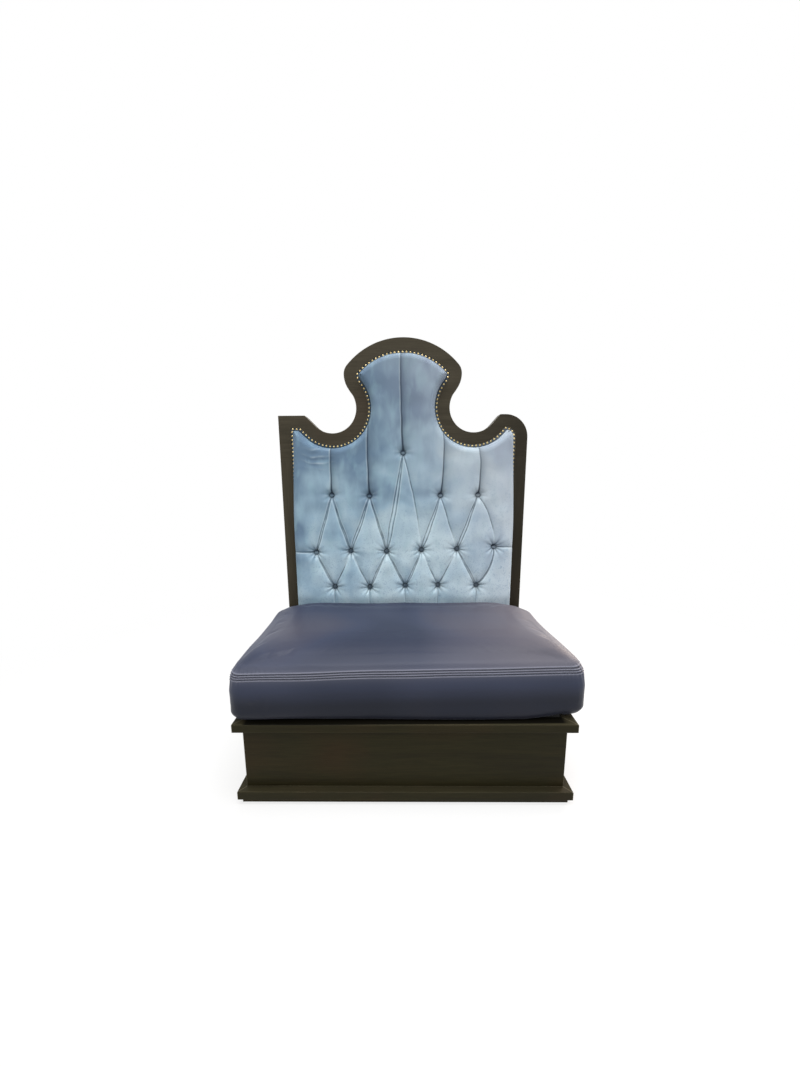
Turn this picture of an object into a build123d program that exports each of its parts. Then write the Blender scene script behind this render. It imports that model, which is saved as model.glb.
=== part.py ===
from build123d import *
import math
import os

# Banquette with a lift-off seat cushion and a tall tufted back. Sizes are millimetres.
# X runs to the right as seen from the front, Y runs to the back and Z runs up.
# The origin is on the floor, in the middle of the width and depth.

# Base
base_width = 1150            # over the seat rails and the lower ledge
base_depth = 576             # from the front of the rails to the back unit
plinth_height = 19
plinth_setback = 12          # behind the edge of the lower ledge
plinth_thickness = 22
ledge_thickness = 31
panel_height = 226           # the upright panels, between the two ledges
panel_thickness = 18
panel_setback = 25           # behind the edges of the ledge and the rails
rail_thickness = 30
ring_width = 80              # of the boards in both rings
edge_round = 2
corner_block_size = 40
divider_thickness = 18

# Back unit, in line with the side panels of the base
frame_thickness = 38
back_panel_thickness = 20
frame_band = 52              # visible width of the show frame
shoulder_height = 1379
right_shoulder_radius = 100
left_wall_angle = 45         # degrees, slope of the outer wall of the left scoop
right_wall_angle = 49        # degrees, slope of the outer wall of the right scoop
shoulder_reach = 238         # from the sides of the back to the scoops' centres
scoop_radius = 107.5
scoop_lift = 31              # the scoops' centres above the shoulders
crest_side_radius = 109      # of the crest's sides, above the scoops
crest_widest_rise = 139      # the widest place above the scoops' centres
crest_rise = 147             # the top above the widest place
crest_corner_radius = 57
stile_joint_drop = 199       # from the shoulders down to the tops of the stiles
pad_bottom = 440
pad_rail_height = 60
bolting_rail_low = 70
bolting_rail_height = 180
batten_width = 60
batten_spacing = 250
batten_top_gap = 40
dowel_radius = 5
dowel_length = 60
dowel_fit = 0.1
dowel_end_gap = 1

# Tufted pad
board_fit = 0.5              # round the pad board
board_thickness = 15
board_setback = 5            # the board's face behind the face of the frame
flange_width = 14            # flat border of the cover, which the nails hold
flange_thickness = 2
pad_proud = 40               # the pad's front before the face of the frame
pad_edge_depth = 34          # the rolled edge of the pad, front to back
pad_edge_roll = 12           # and how far it leans in
foam_thickness = 18
foam_margin = 12             # the foam's edge inside the pad's edge
tuft_side_margin = 73.5      # from the pad's side to the outermost tufts
tuft_drift = 5               # the whole pattern sits this far to the right
pleat_depth = 15
pleat_half_width = 34
pleat_lip = 1.2
dimple_depth = 17
dimple_radius = 40
button_radius = 11
button_height = 6
button_fit = 1.5
nail_radius = 5.5
nail_fit = 0.2               # between the nails and the show frame
nail_height = 3.4
nail_pitch = 17

# Seat
seat_board_thickness = 18
seat_board_front_setback = 40
seat_board_side_setback = 47
dust_cover_thickness = 1
locating_block_length = 60
locating_block_width = 30
locating_block_height = 24
locating_fit = 3
cushion_left_overhang = 18   # past the rails
cushion_right_overhang = 29
cushion_front_inset = 13     # the middle of its front behind the rail's front
cushion_front_skew = 32      # the right front corner lies this much further back
cushion_rear_tuck = 30       # the right rear corner is drawn in by this much
cushion_side_height = 151    # from the seat board to the seam
cushion_crown = 62           # from the seam to the highest point
cushion_edge_roll = 15
cushion_crown_flat = 133.5   # the level middle of the crown, front to back
cushion_rear_roll = 12       # the crown's rear edge leans in by this much
cushion_corner_radius = 46
cushion_pull_in = 3          # of the sides between the corners
cushion_rear_gap = 3         # to the front of the pad
cover_thickness = 2.5

# Fasteners
bolt_radius = 4
bolt_head_radius = 7.5
bolt_head_height = 5
bolt_end_gap = 2
bolt_hole_clearance = 0.5
bolt_half_spacing = 350
bolt_low_height = 110
bolt_high_height = 210
washer_radius = 11
washer_thickness = 2
tee_nut_radius = 11
tee_nut_flange = 1.5
tee_nut_barrel_radius = 5.5
tee_nut_barrel_length = 10
tee_nut_clearance = 0.2
thread_clearance = 0.05

overrun = 5                  # cutters run this far past what they cut

# Heights of the four rows of tufts, from the pad's bottom, as shares of the way to the shoulders
row_height_shares = [0.8265, 0.627, 0.36, 0.1725]
# Columns of the tufts in each row, counted in pitches from the middle
row_a_shares = [0]
row_b_shares = [-2, -1, 1, 2]
row_c_shares = [-2.5, -1.5, -0.5, 0.5, 1.5, 2.5]
row_d_shares = [-2, -1, 0, 1, 2]
pleat_reach_share = 0.75     # a diagonal pleat joins tufts less than this many pitches apart

# The pad's rolled edge from its foot to its front: share of its depth, share of its roll
pad_edge_shares = [(1, 0), (0.42, 0.22), (0.12, 0.6), (0, 1)]
# The cushion's side from its bottom to the seam: share of the side height, share of the edge roll
side_profile_shares = [(0, 1), (0.12, 0.28), (0.3, 0.04), (0.6, 0), (0.9, 0.3), (1, 0.55)]
# The crown from the seam to the top: share of the crown, share of the crown's reach
crown_profile_shares = [(0.4, 0.08), (0.72, 0.3), (0.93, 0.66), (1, 1)]

# Places that follow from the sizes
ledge_top = plinth_height + ledge_thickness
rail_low = ledge_top + panel_height
rail_top = rail_low + rail_thickness
front_y = -(base_depth + frame_thickness + back_panel_thickness) / 2
back_face_y = front_y + base_depth
frame_rear_y = back_face_y + frame_thickness
rear_y = frame_rear_y + back_panel_thickness
board_face_y = back_face_y + board_setback
board_rear_y = board_face_y + board_thickness
pad_face_y = back_face_y - pad_proud
half_base = base_width / 2
half_back = half_base - panel_setback
stile_height = shoulder_height - stile_joint_drop
scoop_x = half_back - shoulder_reach
scoop_centre_z = shoulder_height + scoop_lift
crest_side_run = math.sqrt((crest_side_radius + scoop_radius) ** 2 - crest_widest_rise ** 2)
crest_half_width = scoop_x - crest_side_run + crest_side_radius
crest_widest_z = scoop_centre_z + crest_widest_rise
crest_top_z = crest_widest_z + crest_rise
pad_inset = frame_band + board_fit + flange_width
tuft_pitch = (half_back - pad_inset - tuft_side_margin) / row_c_shares[-1]
seat_rear_y = pad_face_y - cushion_rear_gap
cushion_depth = seat_rear_y - front_y - cushion_front_inset
cushion_left_reach = half_base + cushion_left_overhang
cushion_right_reach = half_base + cushion_right_overhang


def block(low, high):
    """A box between two opposite corners."""
    size = [high[i] - low[i] for i in range(3)]
    middle = [(high[i] + low[i]) / 2 for i in range(3)]
    return Pos(*middle) * Box(*size)


def prism(points, z_low, z_high):
    """An upright prism over a plan outline."""
    face = make_face(Polyline(*points, close=True))
    return Pos(0, 0, z_low) * extrude(face, z_high - z_low)


def rod(radius, start, length, hole_radius=0):
    """A round rod or tube that runs to the back from its start point."""
    solid = Cylinder(radius, length)
    if hole_radius:
        solid = solid - Cylinder(hole_radius, length + overrun)
    middle = (start[0], start[1] + length / 2, start[2])
    return Pos(*middle) * Rot(-90, 0, 0) * solid


def dome(radius, height, place):
    """A flat-bottomed cap that faces the front, with its base at the place."""
    ball_radius = (radius ** 2 + height ** 2) / (2 * height)
    base = ball_radius - height
    cap = split(Sphere(ball_radius), bisect_by=Plane.XY.offset(base), keep=Keep.TOP)
    return Pos(*place) * Rot(90, 0, 0) * Pos(0, 0, -base) * cap


# Base


def make_plinth():
    reach = half_base - plinth_setback
    inner = reach - plinth_thickness
    front = front_y + plinth_setback
    rear = back_face_y
    side_front = front + plinth_thickness
    side_rear = rear - plinth_thickness
    return {
        "plinth_front": block((-reach, front, 0), (reach, side_front, plinth_height)),
        "plinth_rear": block((-reach, side_rear, 0), (reach, rear, plinth_height)),
        "plinth_left": block((-reach, side_front, 0), (-inner, side_rear, plinth_height)),
        "plinth_right": block((inner, side_front, 0), (reach, side_rear, plinth_height)),
    }


def rounded_outer_edges(board, axis, level):
    """Rounds the long edges of a ring board that face outwards."""
    edges = [e for e in board.edges() if abs(abs(getattr(e.center(), axis)) - abs(level)) < edge_round]
    longest = max(e.length for e in edges)
    return fillet([e for e in edges if e.length > longest / 2], edge_round)


def make_ring(name, z_low, z_high):
    """Four flat boards round the box, mitred at the front corners."""
    inner = half_base - ring_width
    front_inner = front_y + ring_width
    rear_inner = back_face_y - ring_width
    front_points = [(-half_base, front_y), (half_base, front_y), (inner, front_inner), (-inner, front_inner)]
    front = prism(front_points, z_low, z_high)
    sides = {}
    for side, sign in (("left", -1), ("right", 1)):
        points = [
            (sign * half_base, front_y),
            (sign * inner, front_inner),
            (sign * inner, back_face_y),
            (sign * half_base, back_face_y),
        ]
        sides[side] = rounded_outer_edges(prism(points, z_low, z_high), "X", half_base)
    return {
        name + "_front": rounded_outer_edges(front, "Y", front_y),
        name + "_left": sides["left"],
        name + "_right": sides["right"],
        name + "_rear": block((-inner, rear_inner, z_low), (inner, back_face_y, z_high)),
    }


def bolt_places(y):
    spots = []
    for x in (-bolt_half_spacing, bolt_half_spacing):
        for z in (bolt_low_height, bolt_high_height):
            spots.append((x, y, z))
    return spots


def make_box():
    """The upright panels, the divider and the corner blocks."""
    reach = half_base - panel_setback
    inner = reach - panel_thickness
    front = front_y + panel_setback
    front_inner = front + panel_thickness
    rear_inner = back_face_y - panel_thickness
    half_divider = divider_thickness / 2
    rear_panel = block((-reach, rear_inner, ledge_top), (reach, back_face_y, rail_low))
    for spot in bolt_places(rear_inner - overrun):
        rear_panel -= rod(bolt_radius + bolt_hole_clearance, spot, panel_thickness + 2 * overrun)
    divider = block((-half_divider, front_inner, ledge_top), (half_divider, rear_inner, rail_low))
    ring_front = front_y + ring_width
    ring_rear = back_face_y - ring_width
    divider += block((-half_divider, ring_front, rail_low), (half_divider, ring_rear, rail_top))
    blocks = []
    for x in (-inner, inner - corner_block_size):
        for y in (front_inner, rear_inner - corner_block_size):
            low = (x, y, ledge_top)
            high = (x + corner_block_size, y + corner_block_size, rail_low)
            blocks.append(block(low, high))
    return {
        "front_panel": block((-reach, front, ledge_top), (reach, front_inner, rail_low)),
        "left_side_panel": block((-reach, front_inner, ledge_top), (-inner, rear_inner, rail_low)),
        "right_side_panel": block((inner, front_inner, ledge_top), (reach, rear_inner, rail_low)),
        "base_rear_panel": rear_panel,
        "centre_divider": divider,
        "corner_blocks": Compound(blocks),
    }


# Outline of the back, in the plane of X and Z


def polar(centre, radius, degrees):
    angle = math.radians(degrees)
    return (centre[0] + radius * math.cos(angle), centre[1] + radius * math.sin(angle))


def towards(start, end, distance):
    """The point at a distance from the start, in the direction of the end."""
    share = distance / math.dist(start, end)
    return (start[0] + share * (end[0] - start[0]), start[1] + share * (end[1] - start[1]))


def circles_meet(centre_a, radius_a, centre_b, radius_b):
    """The meeting point of two circles that lies on the left of the way from a to b."""
    gap = math.dist(centre_a, centre_b)
    along = (gap ** 2 + radius_a ** 2 - radius_b ** 2) / (2 * gap)
    across = math.sqrt(max(radius_a ** 2 - along ** 2, 0))
    ux = (centre_b[0] - centre_a[0]) / gap
    uz = (centre_b[1] - centre_a[1]) / gap
    return (centre_a[0] + along * ux - across * uz, centre_a[1] + along * uz + across * ux)


def crest_half(inset):
    """Points and arcs of the right half of the crest, from the top down to the scoop's bottom."""
    scoop = (scoop_x, scoop_centre_z)
    side_radius = crest_side_radius
    side = (crest_half_width - side_radius, crest_widest_z)
    corner = (crest_half_width - crest_corner_radius, crest_widest_z)
    arch_radius = corner[0] ** 2 + crest_rise ** 2 - crest_corner_radius ** 2
    arch_radius = arch_radius / (2 * (crest_rise - crest_corner_radius))
    arch = (0, crest_top_z - arch_radius)
    neck = towards(side, scoop, side_radius - inset)
    bottom = (scoop_x, scoop_centre_z - scoop_radius - inset)
    top = (0, crest_top_z - inset)
    if crest_corner_radius > inset + board_fit:
        arch_end = towards(arch, corner, arch_radius - inset)
        widest = (crest_half_width - inset, crest_widest_z)
        arcs = [
            (top, arch, arch_end),
            (arch_end, corner, widest),
            (widest, side, neck),
        ]
    else:
        tip = circles_meet(side, side_radius - inset, arch, arch_radius - inset)
        tip = (abs(tip[0]), tip[1])
        arcs = [(top, arch, tip), (tip, side, neck)]
    arcs.append((neck, scoop, bottom))
    return arcs


def mirrored(arcs):
    """The same arcs on the left, in the opposite order."""
    flipped = []
    for start, centre, end in reversed(arcs):
        flipped.append(((-end[0], end[1]), (-centre[0], centre[1]), (-start[0], start[1])))
    return flipped


def arc_middle(start, centre, end):
    """The middle of the shorter arc between two points about a centre."""
    radius = math.dist(centre, start)
    return towards(centre, ((start[0] + end[0]) / 2, (start[1] + end[1]) / 2), radius)


def left_shoulder(inset, left, shoulder):
    """The outline from the left side over the square shoulder to the left scoop's bottom."""
    scoop = (-scoop_x, scoop_centre_z)
    radius = scoop_radius + inset
    slope = math.tan(math.radians(left_wall_angle))
    wall = polar(scoop, radius, -90 - left_wall_angle)
    brow = (wall[0] - (shoulder - wall[1]) / slope, shoulder)
    bottom = (-scoop_x, scoop_centre_z - radius)
    if brow[0] > left:
        corner = (left, shoulder)
        steps = [(corner, None, brow), (brow, None, wall), (wall, scoop, bottom)]
    elif wall[0] > left:
        corner = (left, wall[1] + slope * (wall[0] - left))
        steps = [(corner, None, wall), (wall, scoop, bottom)]
    else:
        drop = math.sqrt(radius ** 2 - (left - scoop[0]) ** 2)
        corner = (left, scoop_centre_z - drop)
        steps = [(corner, scoop, bottom)]
    return [((left, None), None, corner)] + steps


def right_shoulder(inset, right, shoulder):
    """The outline from the right scoop's bottom over the round shoulder to the right side."""
    scoop = (scoop_x, scoop_centre_z)
    radius = scoop_radius + inset
    slope = math.tan(math.radians(right_wall_angle))
    wall = polar(scoop, radius, -90 + right_wall_angle)
    brow = (wall[0] + (shoulder - wall[1]) / slope, shoulder)
    bottom = (scoop_x, scoop_centre_z - radius)
    bend = (half_back - right_shoulder_radius, shoulder_height - right_shoulder_radius)
    bend_radius = right_shoulder_radius - inset
    if math.dist(scoop, bend) < radius - bend_radius:
        drop = math.sqrt(radius ** 2 - (right - scoop[0]) ** 2)
        corner = (right, scoop_centre_z - drop)
        return [(bottom, scoop, corner), (corner, None, (right, None))]
    if brow[0] < bend[0]:
        start = (bend[0], shoulder)
        steps = [(bottom, scoop, wall), (wall, None, brow), (brow, None, start)]
    elif math.dist(wall, bend) < bend_radius:
        start = line_meets_circle(wall, brow, bend, bend_radius)
        steps = [(bottom, scoop, wall), (wall, None, start)]
    else:
        start = circles_meet(scoop, radius, bend, bend_radius)
        steps = [(bottom, scoop, start)]
    side = (right, bend[1])
    return steps + [(start, bend, side), (side, None, (right, None))]


def back_path(inset):
    """The outline without its bottom edge, from the left foot over the top to the right foot.

    Each step is a start, a centre or None for a straight run, and an end.
    """
    crest = crest_half(inset)
    shoulder = shoulder_height - inset
    steps = left_shoulder(inset, inset - half_back, shoulder)
    steps += mirrored(crest) + crest
    steps += right_shoulder(inset, half_back - inset, shoulder)
    return steps


def line_meets_circle(start, through, centre, radius):
    """The point where a line that starts inside a circle leaves it."""
    length = math.dist(start, through)
    ux = (through[0] - start[0]) / length
    uz = (through[1] - start[1]) / length
    px = start[0] - centre[0]
    pz = start[1] - centre[1]
    half_b = px * ux + pz * uz
    rest = px ** 2 + pz ** 2 - radius ** 2
    distance = -half_b + math.sqrt(half_b ** 2 - rest)
    return (start[0] + distance * ux, start[1] + distance * uz)


def back_edges(inset, low, y):
    """The outline's edges at one depth, open at the bottom."""
    edges = []
    for start, centre, end in back_path(inset):
        start_z = low if start[1] is None else start[1]
        end_z = low if end[1] is None else end[1]
        first = (start[0], y, start_z)
        last = (end[0], y, end_z)
        if centre is None:
            edges.append(Line(first, last))
        else:
            middle = arc_middle(start, centre, end)
            edges.append(ThreePointArc(first, (middle[0], y, middle[1]), last))
    return edges


def back_wire(inset, low, y):
    edges = back_edges(inset, low, y)
    edges.append(Line(edges[-1] @ 1, edges[0] @ 0))
    return Wire(edges)


def back_slab(inset, low, y_front, y_rear):
    """A slab with the outline of the back."""
    return extrude(Face(back_wire(inset, low, y_front)), y_rear - y_front, dir=(0, 1, 0))


# Back unit


def dowel_places():
    """The start points of the dowels, at the joints of the stiles and the crest frame."""
    spots = []
    for x in (-half_back + frame_band / 2, half_back - frame_band / 2):
        for depth in (frame_thickness / 3, 2 * frame_thickness / 3):
            spots.append((x, back_face_y + depth, stile_height))
    return spots


def make_show_frame():
    inner = half_back - frame_band
    frame = back_slab(0, 0, back_face_y, frame_rear_y)
    opening = back_slab(frame_band, 0, back_face_y - overrun, frame_rear_y + overrun)
    upper = block(
        (-base_width, back_face_y - overrun, stile_height),
        (base_width, frame_rear_y + overrun, crest_top_z + overrun),
    )
    crest_frame = (frame - opening) & upper
    left_stile = block((-half_back, back_face_y, 0), (-inner, frame_rear_y, stile_height))
    right_stile = block((inner, back_face_y, 0), (half_back, frame_rear_y, stile_height))
    hole_reach = dowel_length / 2 + dowel_end_gap
    for x, y, z in dowel_places():
        hole = Pos(x, y, z) * Cylinder(dowel_radius + dowel_fit, 2 * hole_reach)
        crest_frame -= hole
        if x < 0:
            left_stile -= hole
        else:
            right_stile -= hole
    dowels = [Pos(*spot) * Cylinder(dowel_radius, dowel_length) for spot in dowel_places()]
    rail_low_z = pad_bottom - pad_rail_height
    bolting_rail = block(
        (-inner, back_face_y, bolting_rail_low),
        (inner, frame_rear_y, bolting_rail_low + bolting_rail_height),
    )
    for x, y, z in bolt_places(back_face_y - overrun):
        bolting_rail -= rod(bolt_radius + bolt_hole_clearance, (x, y, z), frame_thickness + 2 * overrun)
        barrel_start = (x, frame_rear_y - tee_nut_flange - tee_nut_barrel_length - bolt_end_gap, z)
        barrel_hole = rod(tee_nut_barrel_radius + tee_nut_clearance, barrel_start, frame_thickness)
        flange_start = (x, frame_rear_y - tee_nut_flange, z)
        flange_hole = rod(tee_nut_radius + tee_nut_clearance, flange_start, frame_thickness)
        bolting_rail -= barrel_hole + flange_hole
    return {
        "crest_frame": crest_frame,
        "left_stile": left_stile,
        "right_stile": right_stile,
        "pad_rail": block((-inner, back_face_y, rail_low_z), (inner, frame_rear_y, pad_bottom)),
        "bolting_rail": bolting_rail,
        "frame_dowels": Compound(dowels),
    }


def make_back_boards():
    """The rear panel, the pad board and the battens between them."""
    battens = []
    tops = {
        0: crest_top_z - frame_band - batten_top_gap,
        batten_spacing: scoop_centre_z - scoop_radius - frame_band - batten_top_gap,
    }
    for x in (-batten_spacing, 0, batten_spacing):
        low = (x - batten_width / 2, board_rear_y, pad_bottom)
        high = (x + batten_width / 2, frame_rear_y, tops[abs(x)])
        battens.append(block(low, high))
    return {
        "back_panel": back_slab(0, 0, frame_rear_y, rear_y),
        "pad_board": back_slab(frame_band + board_fit, pad_bottom, board_face_y, board_rear_y),
        "back_battens": Compound(battens),
    }


# Tufted pad


def tuft_rows():
    rows = {}
    all_columns = (row_a_shares, row_b_shares, row_c_shares, row_d_shares)
    for name, height_share, columns in zip("abcd", row_height_shares, all_columns):
        height = pad_bottom + height_share * (shoulder_height - pad_bottom)
        rows[name] = [(tuft_drift + column * tuft_pitch, height) for column in columns]
    return rows


def pleat_runs():
    """Start and end of every pleat: between tufts, up from the top rows, and out to the edges."""
    rows = tuft_rows()
    runs = []
    for upper, lower in (("a", "c"), ("b", "c"), ("c", "d")):
        for start in rows[upper]:
            for end in rows[lower]:
                if abs(start[0] - end[0]) < pleat_reach_share * tuft_pitch:
                    runs.append((start, end))
    for start in rows["a"] + rows["b"]:
        runs.append((start, (start[0], crest_top_z)))
    for start in rows["d"]:
        runs.append((start, (start[0], pad_bottom - overrun)))
    for start, side in ((rows["c"][0], -half_back), (rows["c"][-1], half_back)):
        runs.append((start, (side, start[1])))
    return runs


def pleat_cutter(start, end):
    """A V groove with round flanks, cut into the front of the pad from one place to another."""
    run = math.dist(start, end)
    ux = (end[0] - start[0]) / run
    uz = (end[1] - start[1]) / run
    place = Plane(origin=(start[0], pad_face_y, start[1]), x_dir=(uz, 0, -ux), z_dir=(ux, 0, uz))
    depth = pleat_depth + pleat_lip
    flank_radius = (pleat_half_width ** 2 + depth ** 2) / (2 * depth)
    half_turn = math.asin(min(pleat_half_width / flank_radius, 1)) / 2
    bulge_x = pleat_half_width - flank_radius * math.sin(half_turn)
    bulge_y = flank_radius * (1 - math.cos(half_turn)) - pleat_lip
    left = (-pleat_half_width, -pleat_lip)
    right = (pleat_half_width, -pleat_lip)
    crease = (0, pleat_depth)
    outline = [
        ThreePointArc(left, (-bulge_x, bulge_y), crease),
        ThreePointArc(crease, (bulge_x, bulge_y), right),
        Line(right, (pleat_half_width, -overrun)),
        Line((pleat_half_width, -overrun), (-pleat_half_width, -overrun)),
        Line((-pleat_half_width, -overrun), left),
    ]
    return extrude(place * make_face(outline), run)


def pad_body(inset):
    """The plain pad with its rolled edge, before it is tufted."""
    sections = [back_wire(inset, pad_bottom, board_face_y)]
    for depth_share, roll_share in pad_edge_shares:
        y = pad_face_y + depth_share * pad_edge_depth
        lean = roll_share * pad_edge_roll
        sections.append(back_wire(inset + lean, pad_bottom + lean, y))
    return Solid.make_loft(sections, ruled=True)


def make_pad():
    border = frame_band + board_fit
    flange_face_y = board_face_y - flange_thickness
    body = pad_body(pad_inset)
    for start, end in pleat_runs():
        body -= pleat_cutter(start, end)
    buttons = []
    floor_radius = button_radius + button_fit
    for row in tuft_rows().values():
        for x, z in row:
            cone = Cone(floor_radius, dimple_radius, dimple_depth)
            shaft = Pos(0, 0, (dimple_depth + overrun) / 2) * Cylinder(dimple_radius, overrun)
            dimple = Rot(90, 0, 0) * (cone + shaft)
            body -= Pos(x, pad_face_y + dimple_depth / 2, z) * dimple
            buttons.append(dome(button_radius, button_height, (x, pad_face_y + dimple_depth, z)))
    flange = back_slab(border, pad_bottom, flange_face_y, board_face_y)
    foam_inset = pad_inset + foam_margin
    foam_low = pad_bottom + foam_margin
    foam = back_slab(foam_inset, foam_low, board_face_y - foam_thickness, board_face_y)
    cover = flange + body - foam
    return {
        "back_foam": foam,
        "back_cover": cover,
        "tuft_buttons": Compound(buttons),
        "nail_heads": Compound(make_nails(flange_face_y)),
    }


def make_nails(base_y):
    """Domed nails at an even pitch along the edge of the pad."""
    nail_line = frame_band + nail_fit + nail_radius
    path = Wire(back_edges(nail_line, pad_bottom + nail_pitch, base_y))
    count = round(path.length / nail_pitch)
    nails = []
    for i in range(count + 1):
        spot = path @ (i / count)
        nails.append(dome(nail_radius, nail_height, (spot.X, base_y, spot.Z)))
    return nails


# Seat


def cushion_section(inset, rear_inset, z, corner):
    """The cushion's plan outline at one height, drawn in all round and at the rear."""
    mean_width = cushion_left_reach + cushion_right_reach
    slope = cushion_front_skew / mean_width
    front_left = front_y + cushion_front_inset - slope * cushion_left_reach
    front_right = front_y + cushion_front_inset + slope * cushion_right_reach
    corners = [
        (-cushion_left_reach + inset, front_left + inset),
        (cushion_right_reach - inset, front_right + inset),
        (cushion_right_reach - cushion_rear_tuck - inset, seat_rear_y - rear_inset),
        (-cushion_left_reach + inset, seat_rear_y - rear_inset),
    ]
    arc_share = 1 - math.sqrt(1 / 2)
    edges = []
    for i in range(4):
        before = corners[i - 1]
        here = corners[i]
        after = corners[(i + 1) % 4]
        beyond = corners[(i + 2) % 4]
        arrive = towards(here, before, corner)
        leave = towards(here, after, corner)
        turn = tuple(here[k] + arc_share * (arrive[k] + leave[k] - 2 * here[k]) for k in range(2))
        edges.append(ThreePointArc(arrive + (z,), turn + (z,), leave + (z,)))
        reach = towards(after, here, corner)
        middle = ((leave[0] + reach[0]) / 2, (leave[1] + reach[1]) / 2)
        inward = ((before[0] + beyond[0]) / 2, (before[1] + beyond[1]) / 2)
        pulled = towards(middle, inward, cushion_pull_in)
        edges.append(ThreePointArc(leave + (z,), pulled + (z,), reach + (z,)))
    return Wire(edges)


def cushion_form(skin):
    """The crowned cushion, or its core inside a skin of some thickness."""
    low = rail_top + dust_cover_thickness + seat_board_thickness + skin
    seam = low - skin + cushion_side_height
    sections = []
    for height_share, roll_share in side_profile_shares:
        z = low + height_share * (seam - low)
        inset = skin + roll_share * cushion_edge_roll
        sections.append(cushion_section(inset, inset, z, cushion_corner_radius))
    edge_inset = skin + side_profile_shares[-1][1] * cushion_edge_roll
    crown_reach = (cushion_depth - cushion_crown_flat) / 2 - edge_inset + skin
    for height_share, reach_share in crown_profile_shares:
        z = seam + height_share * (cushion_crown - skin)
        inset = edge_inset + reach_share * crown_reach
        rear_inset = edge_inset + reach_share * cushion_rear_roll
        sections.append(cushion_section(inset, rear_inset, z, cushion_corner_radius))
    return Solid.make_loft(sections, ruled=True)


def make_seat():
    side = half_base - seat_board_side_setback
    front = front_y + seat_board_front_setback
    cover_low = rail_top + dust_cover_thickness
    board_top = cover_low + seat_board_thickness
    inner_x = half_base - ring_width - locating_fit
    inner_front = front_y + ring_width + locating_fit
    inner_rear = back_face_y - ring_width - locating_fit
    blocks = []
    for x in (-inner_x, inner_x - locating_block_length):
        for y in (inner_front, inner_rear - locating_block_width):
            low = (x, y, rail_top - locating_block_height)
            high = (x + locating_block_length, y + locating_block_width, rail_top)
            blocks.append(block(low, high))
    foam = cushion_form(cover_thickness)
    return {
        "seat_board": block((-side, front, cover_low), (side, seat_rear_y, board_top)),
        "dust_cover": block((-side, front, rail_top), (side, seat_rear_y, cover_low)),
        "locating_blocks": Compound(blocks),
        "seat_foam": foam,
        "seat_cover": cushion_form(0) - foam,
    }


# Fasteners


def make_fasteners():
    panel_front = back_face_y - panel_thickness
    shank = panel_thickness + frame_thickness - bolt_end_gap + washer_thickness
    nut_front = frame_rear_y - tee_nut_flange - tee_nut_barrel_length
    bolts = []
    washers = []
    nuts = []
    for x, y, z in bolt_places(panel_front - washer_thickness):
        head = rod(bolt_head_radius, (x, y - bolt_head_height, z), bolt_head_height)
        bolts.append(head + rod(bolt_radius, (x, y, z), shank))
        bore = bolt_radius + bolt_hole_clearance
        washers.append(rod(washer_radius, (x, y, z), washer_thickness, bore))
        thread = bolt_radius + thread_clearance
        barrel = rod(tee_nut_barrel_radius, (x, nut_front, z), tee_nut_barrel_length, thread)
        flange_start = (x, frame_rear_y - tee_nut_flange, z)
        nuts.append(barrel + rod(tee_nut_radius, flange_start, tee_nut_flange, thread))
    return {
        "joining_bolts": Compound(bolts),
        "joining_washers": Compound(washers),
        "tee_nuts": Compound(nuts),
    }


def main():
    os.makedirs("parts", exist_ok=True)
    nodes = {}
    nodes.update(make_plinth())
    nodes.update(make_ring("lower_ledge", plinth_height, ledge_top))
    nodes.update(make_ring("seat_rail", rail_low, rail_top))
    nodes.update(make_box())
    nodes.update(make_show_frame())
    nodes.update(make_back_boards())
    nodes.update(make_pad())
    nodes.update(make_seat())
    nodes.update(make_fasteners())
    for name, shape in nodes.items():
        export_step(shape, "parts/" + name + ".step")
        print(name, round(shape.volume / 1000), "cm3")


main()
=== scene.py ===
# A banquette: a wooden base, a lift-off leather seat and a tall back with a tufted velvet pad.
import bpy
import bmesh
import math
import numpy as np
from mathutils import Matrix, Vector


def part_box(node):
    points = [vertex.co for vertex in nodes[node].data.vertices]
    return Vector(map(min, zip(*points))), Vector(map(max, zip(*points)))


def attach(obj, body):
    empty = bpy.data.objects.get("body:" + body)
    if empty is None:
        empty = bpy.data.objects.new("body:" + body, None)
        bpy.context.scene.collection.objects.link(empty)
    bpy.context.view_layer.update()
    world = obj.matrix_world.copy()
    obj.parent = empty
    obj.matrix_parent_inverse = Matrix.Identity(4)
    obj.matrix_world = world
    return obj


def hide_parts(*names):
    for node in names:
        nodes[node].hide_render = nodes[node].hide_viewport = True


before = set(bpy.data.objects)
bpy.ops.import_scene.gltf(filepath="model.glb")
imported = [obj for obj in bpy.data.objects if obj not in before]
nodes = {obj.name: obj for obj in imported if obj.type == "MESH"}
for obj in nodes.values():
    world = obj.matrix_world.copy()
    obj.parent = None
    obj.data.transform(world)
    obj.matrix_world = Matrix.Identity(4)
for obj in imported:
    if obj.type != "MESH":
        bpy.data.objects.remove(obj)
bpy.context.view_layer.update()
mm = 0.001
tiny = 0.01            # mm, too little to matter
phaseRange = (0, 6)    # radians


# Small helpers


def hexColour(code):
    channels = [int(code[i:i + 2], 16) / 255 for i in (1, 3, 5)]
    linear = [c / 12.92 if c <= 0.04045 else ((c + 0.055) / 1.055) ** 2.4 for c in channels]
    return (*linear, 1.0)


def setInputs(tree, node, inputs):
    # a node or one of its outputs is linked, and anything else is a value
    for name, value in inputs.items():
        if isinstance(value, bpy.types.Node):
            value = value.outputs[0]
        if isinstance(value, bpy.types.NodeSocket):
            tree.links.new(value, node.inputs[name])
        else:
            node.inputs[name].default_value = value


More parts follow.
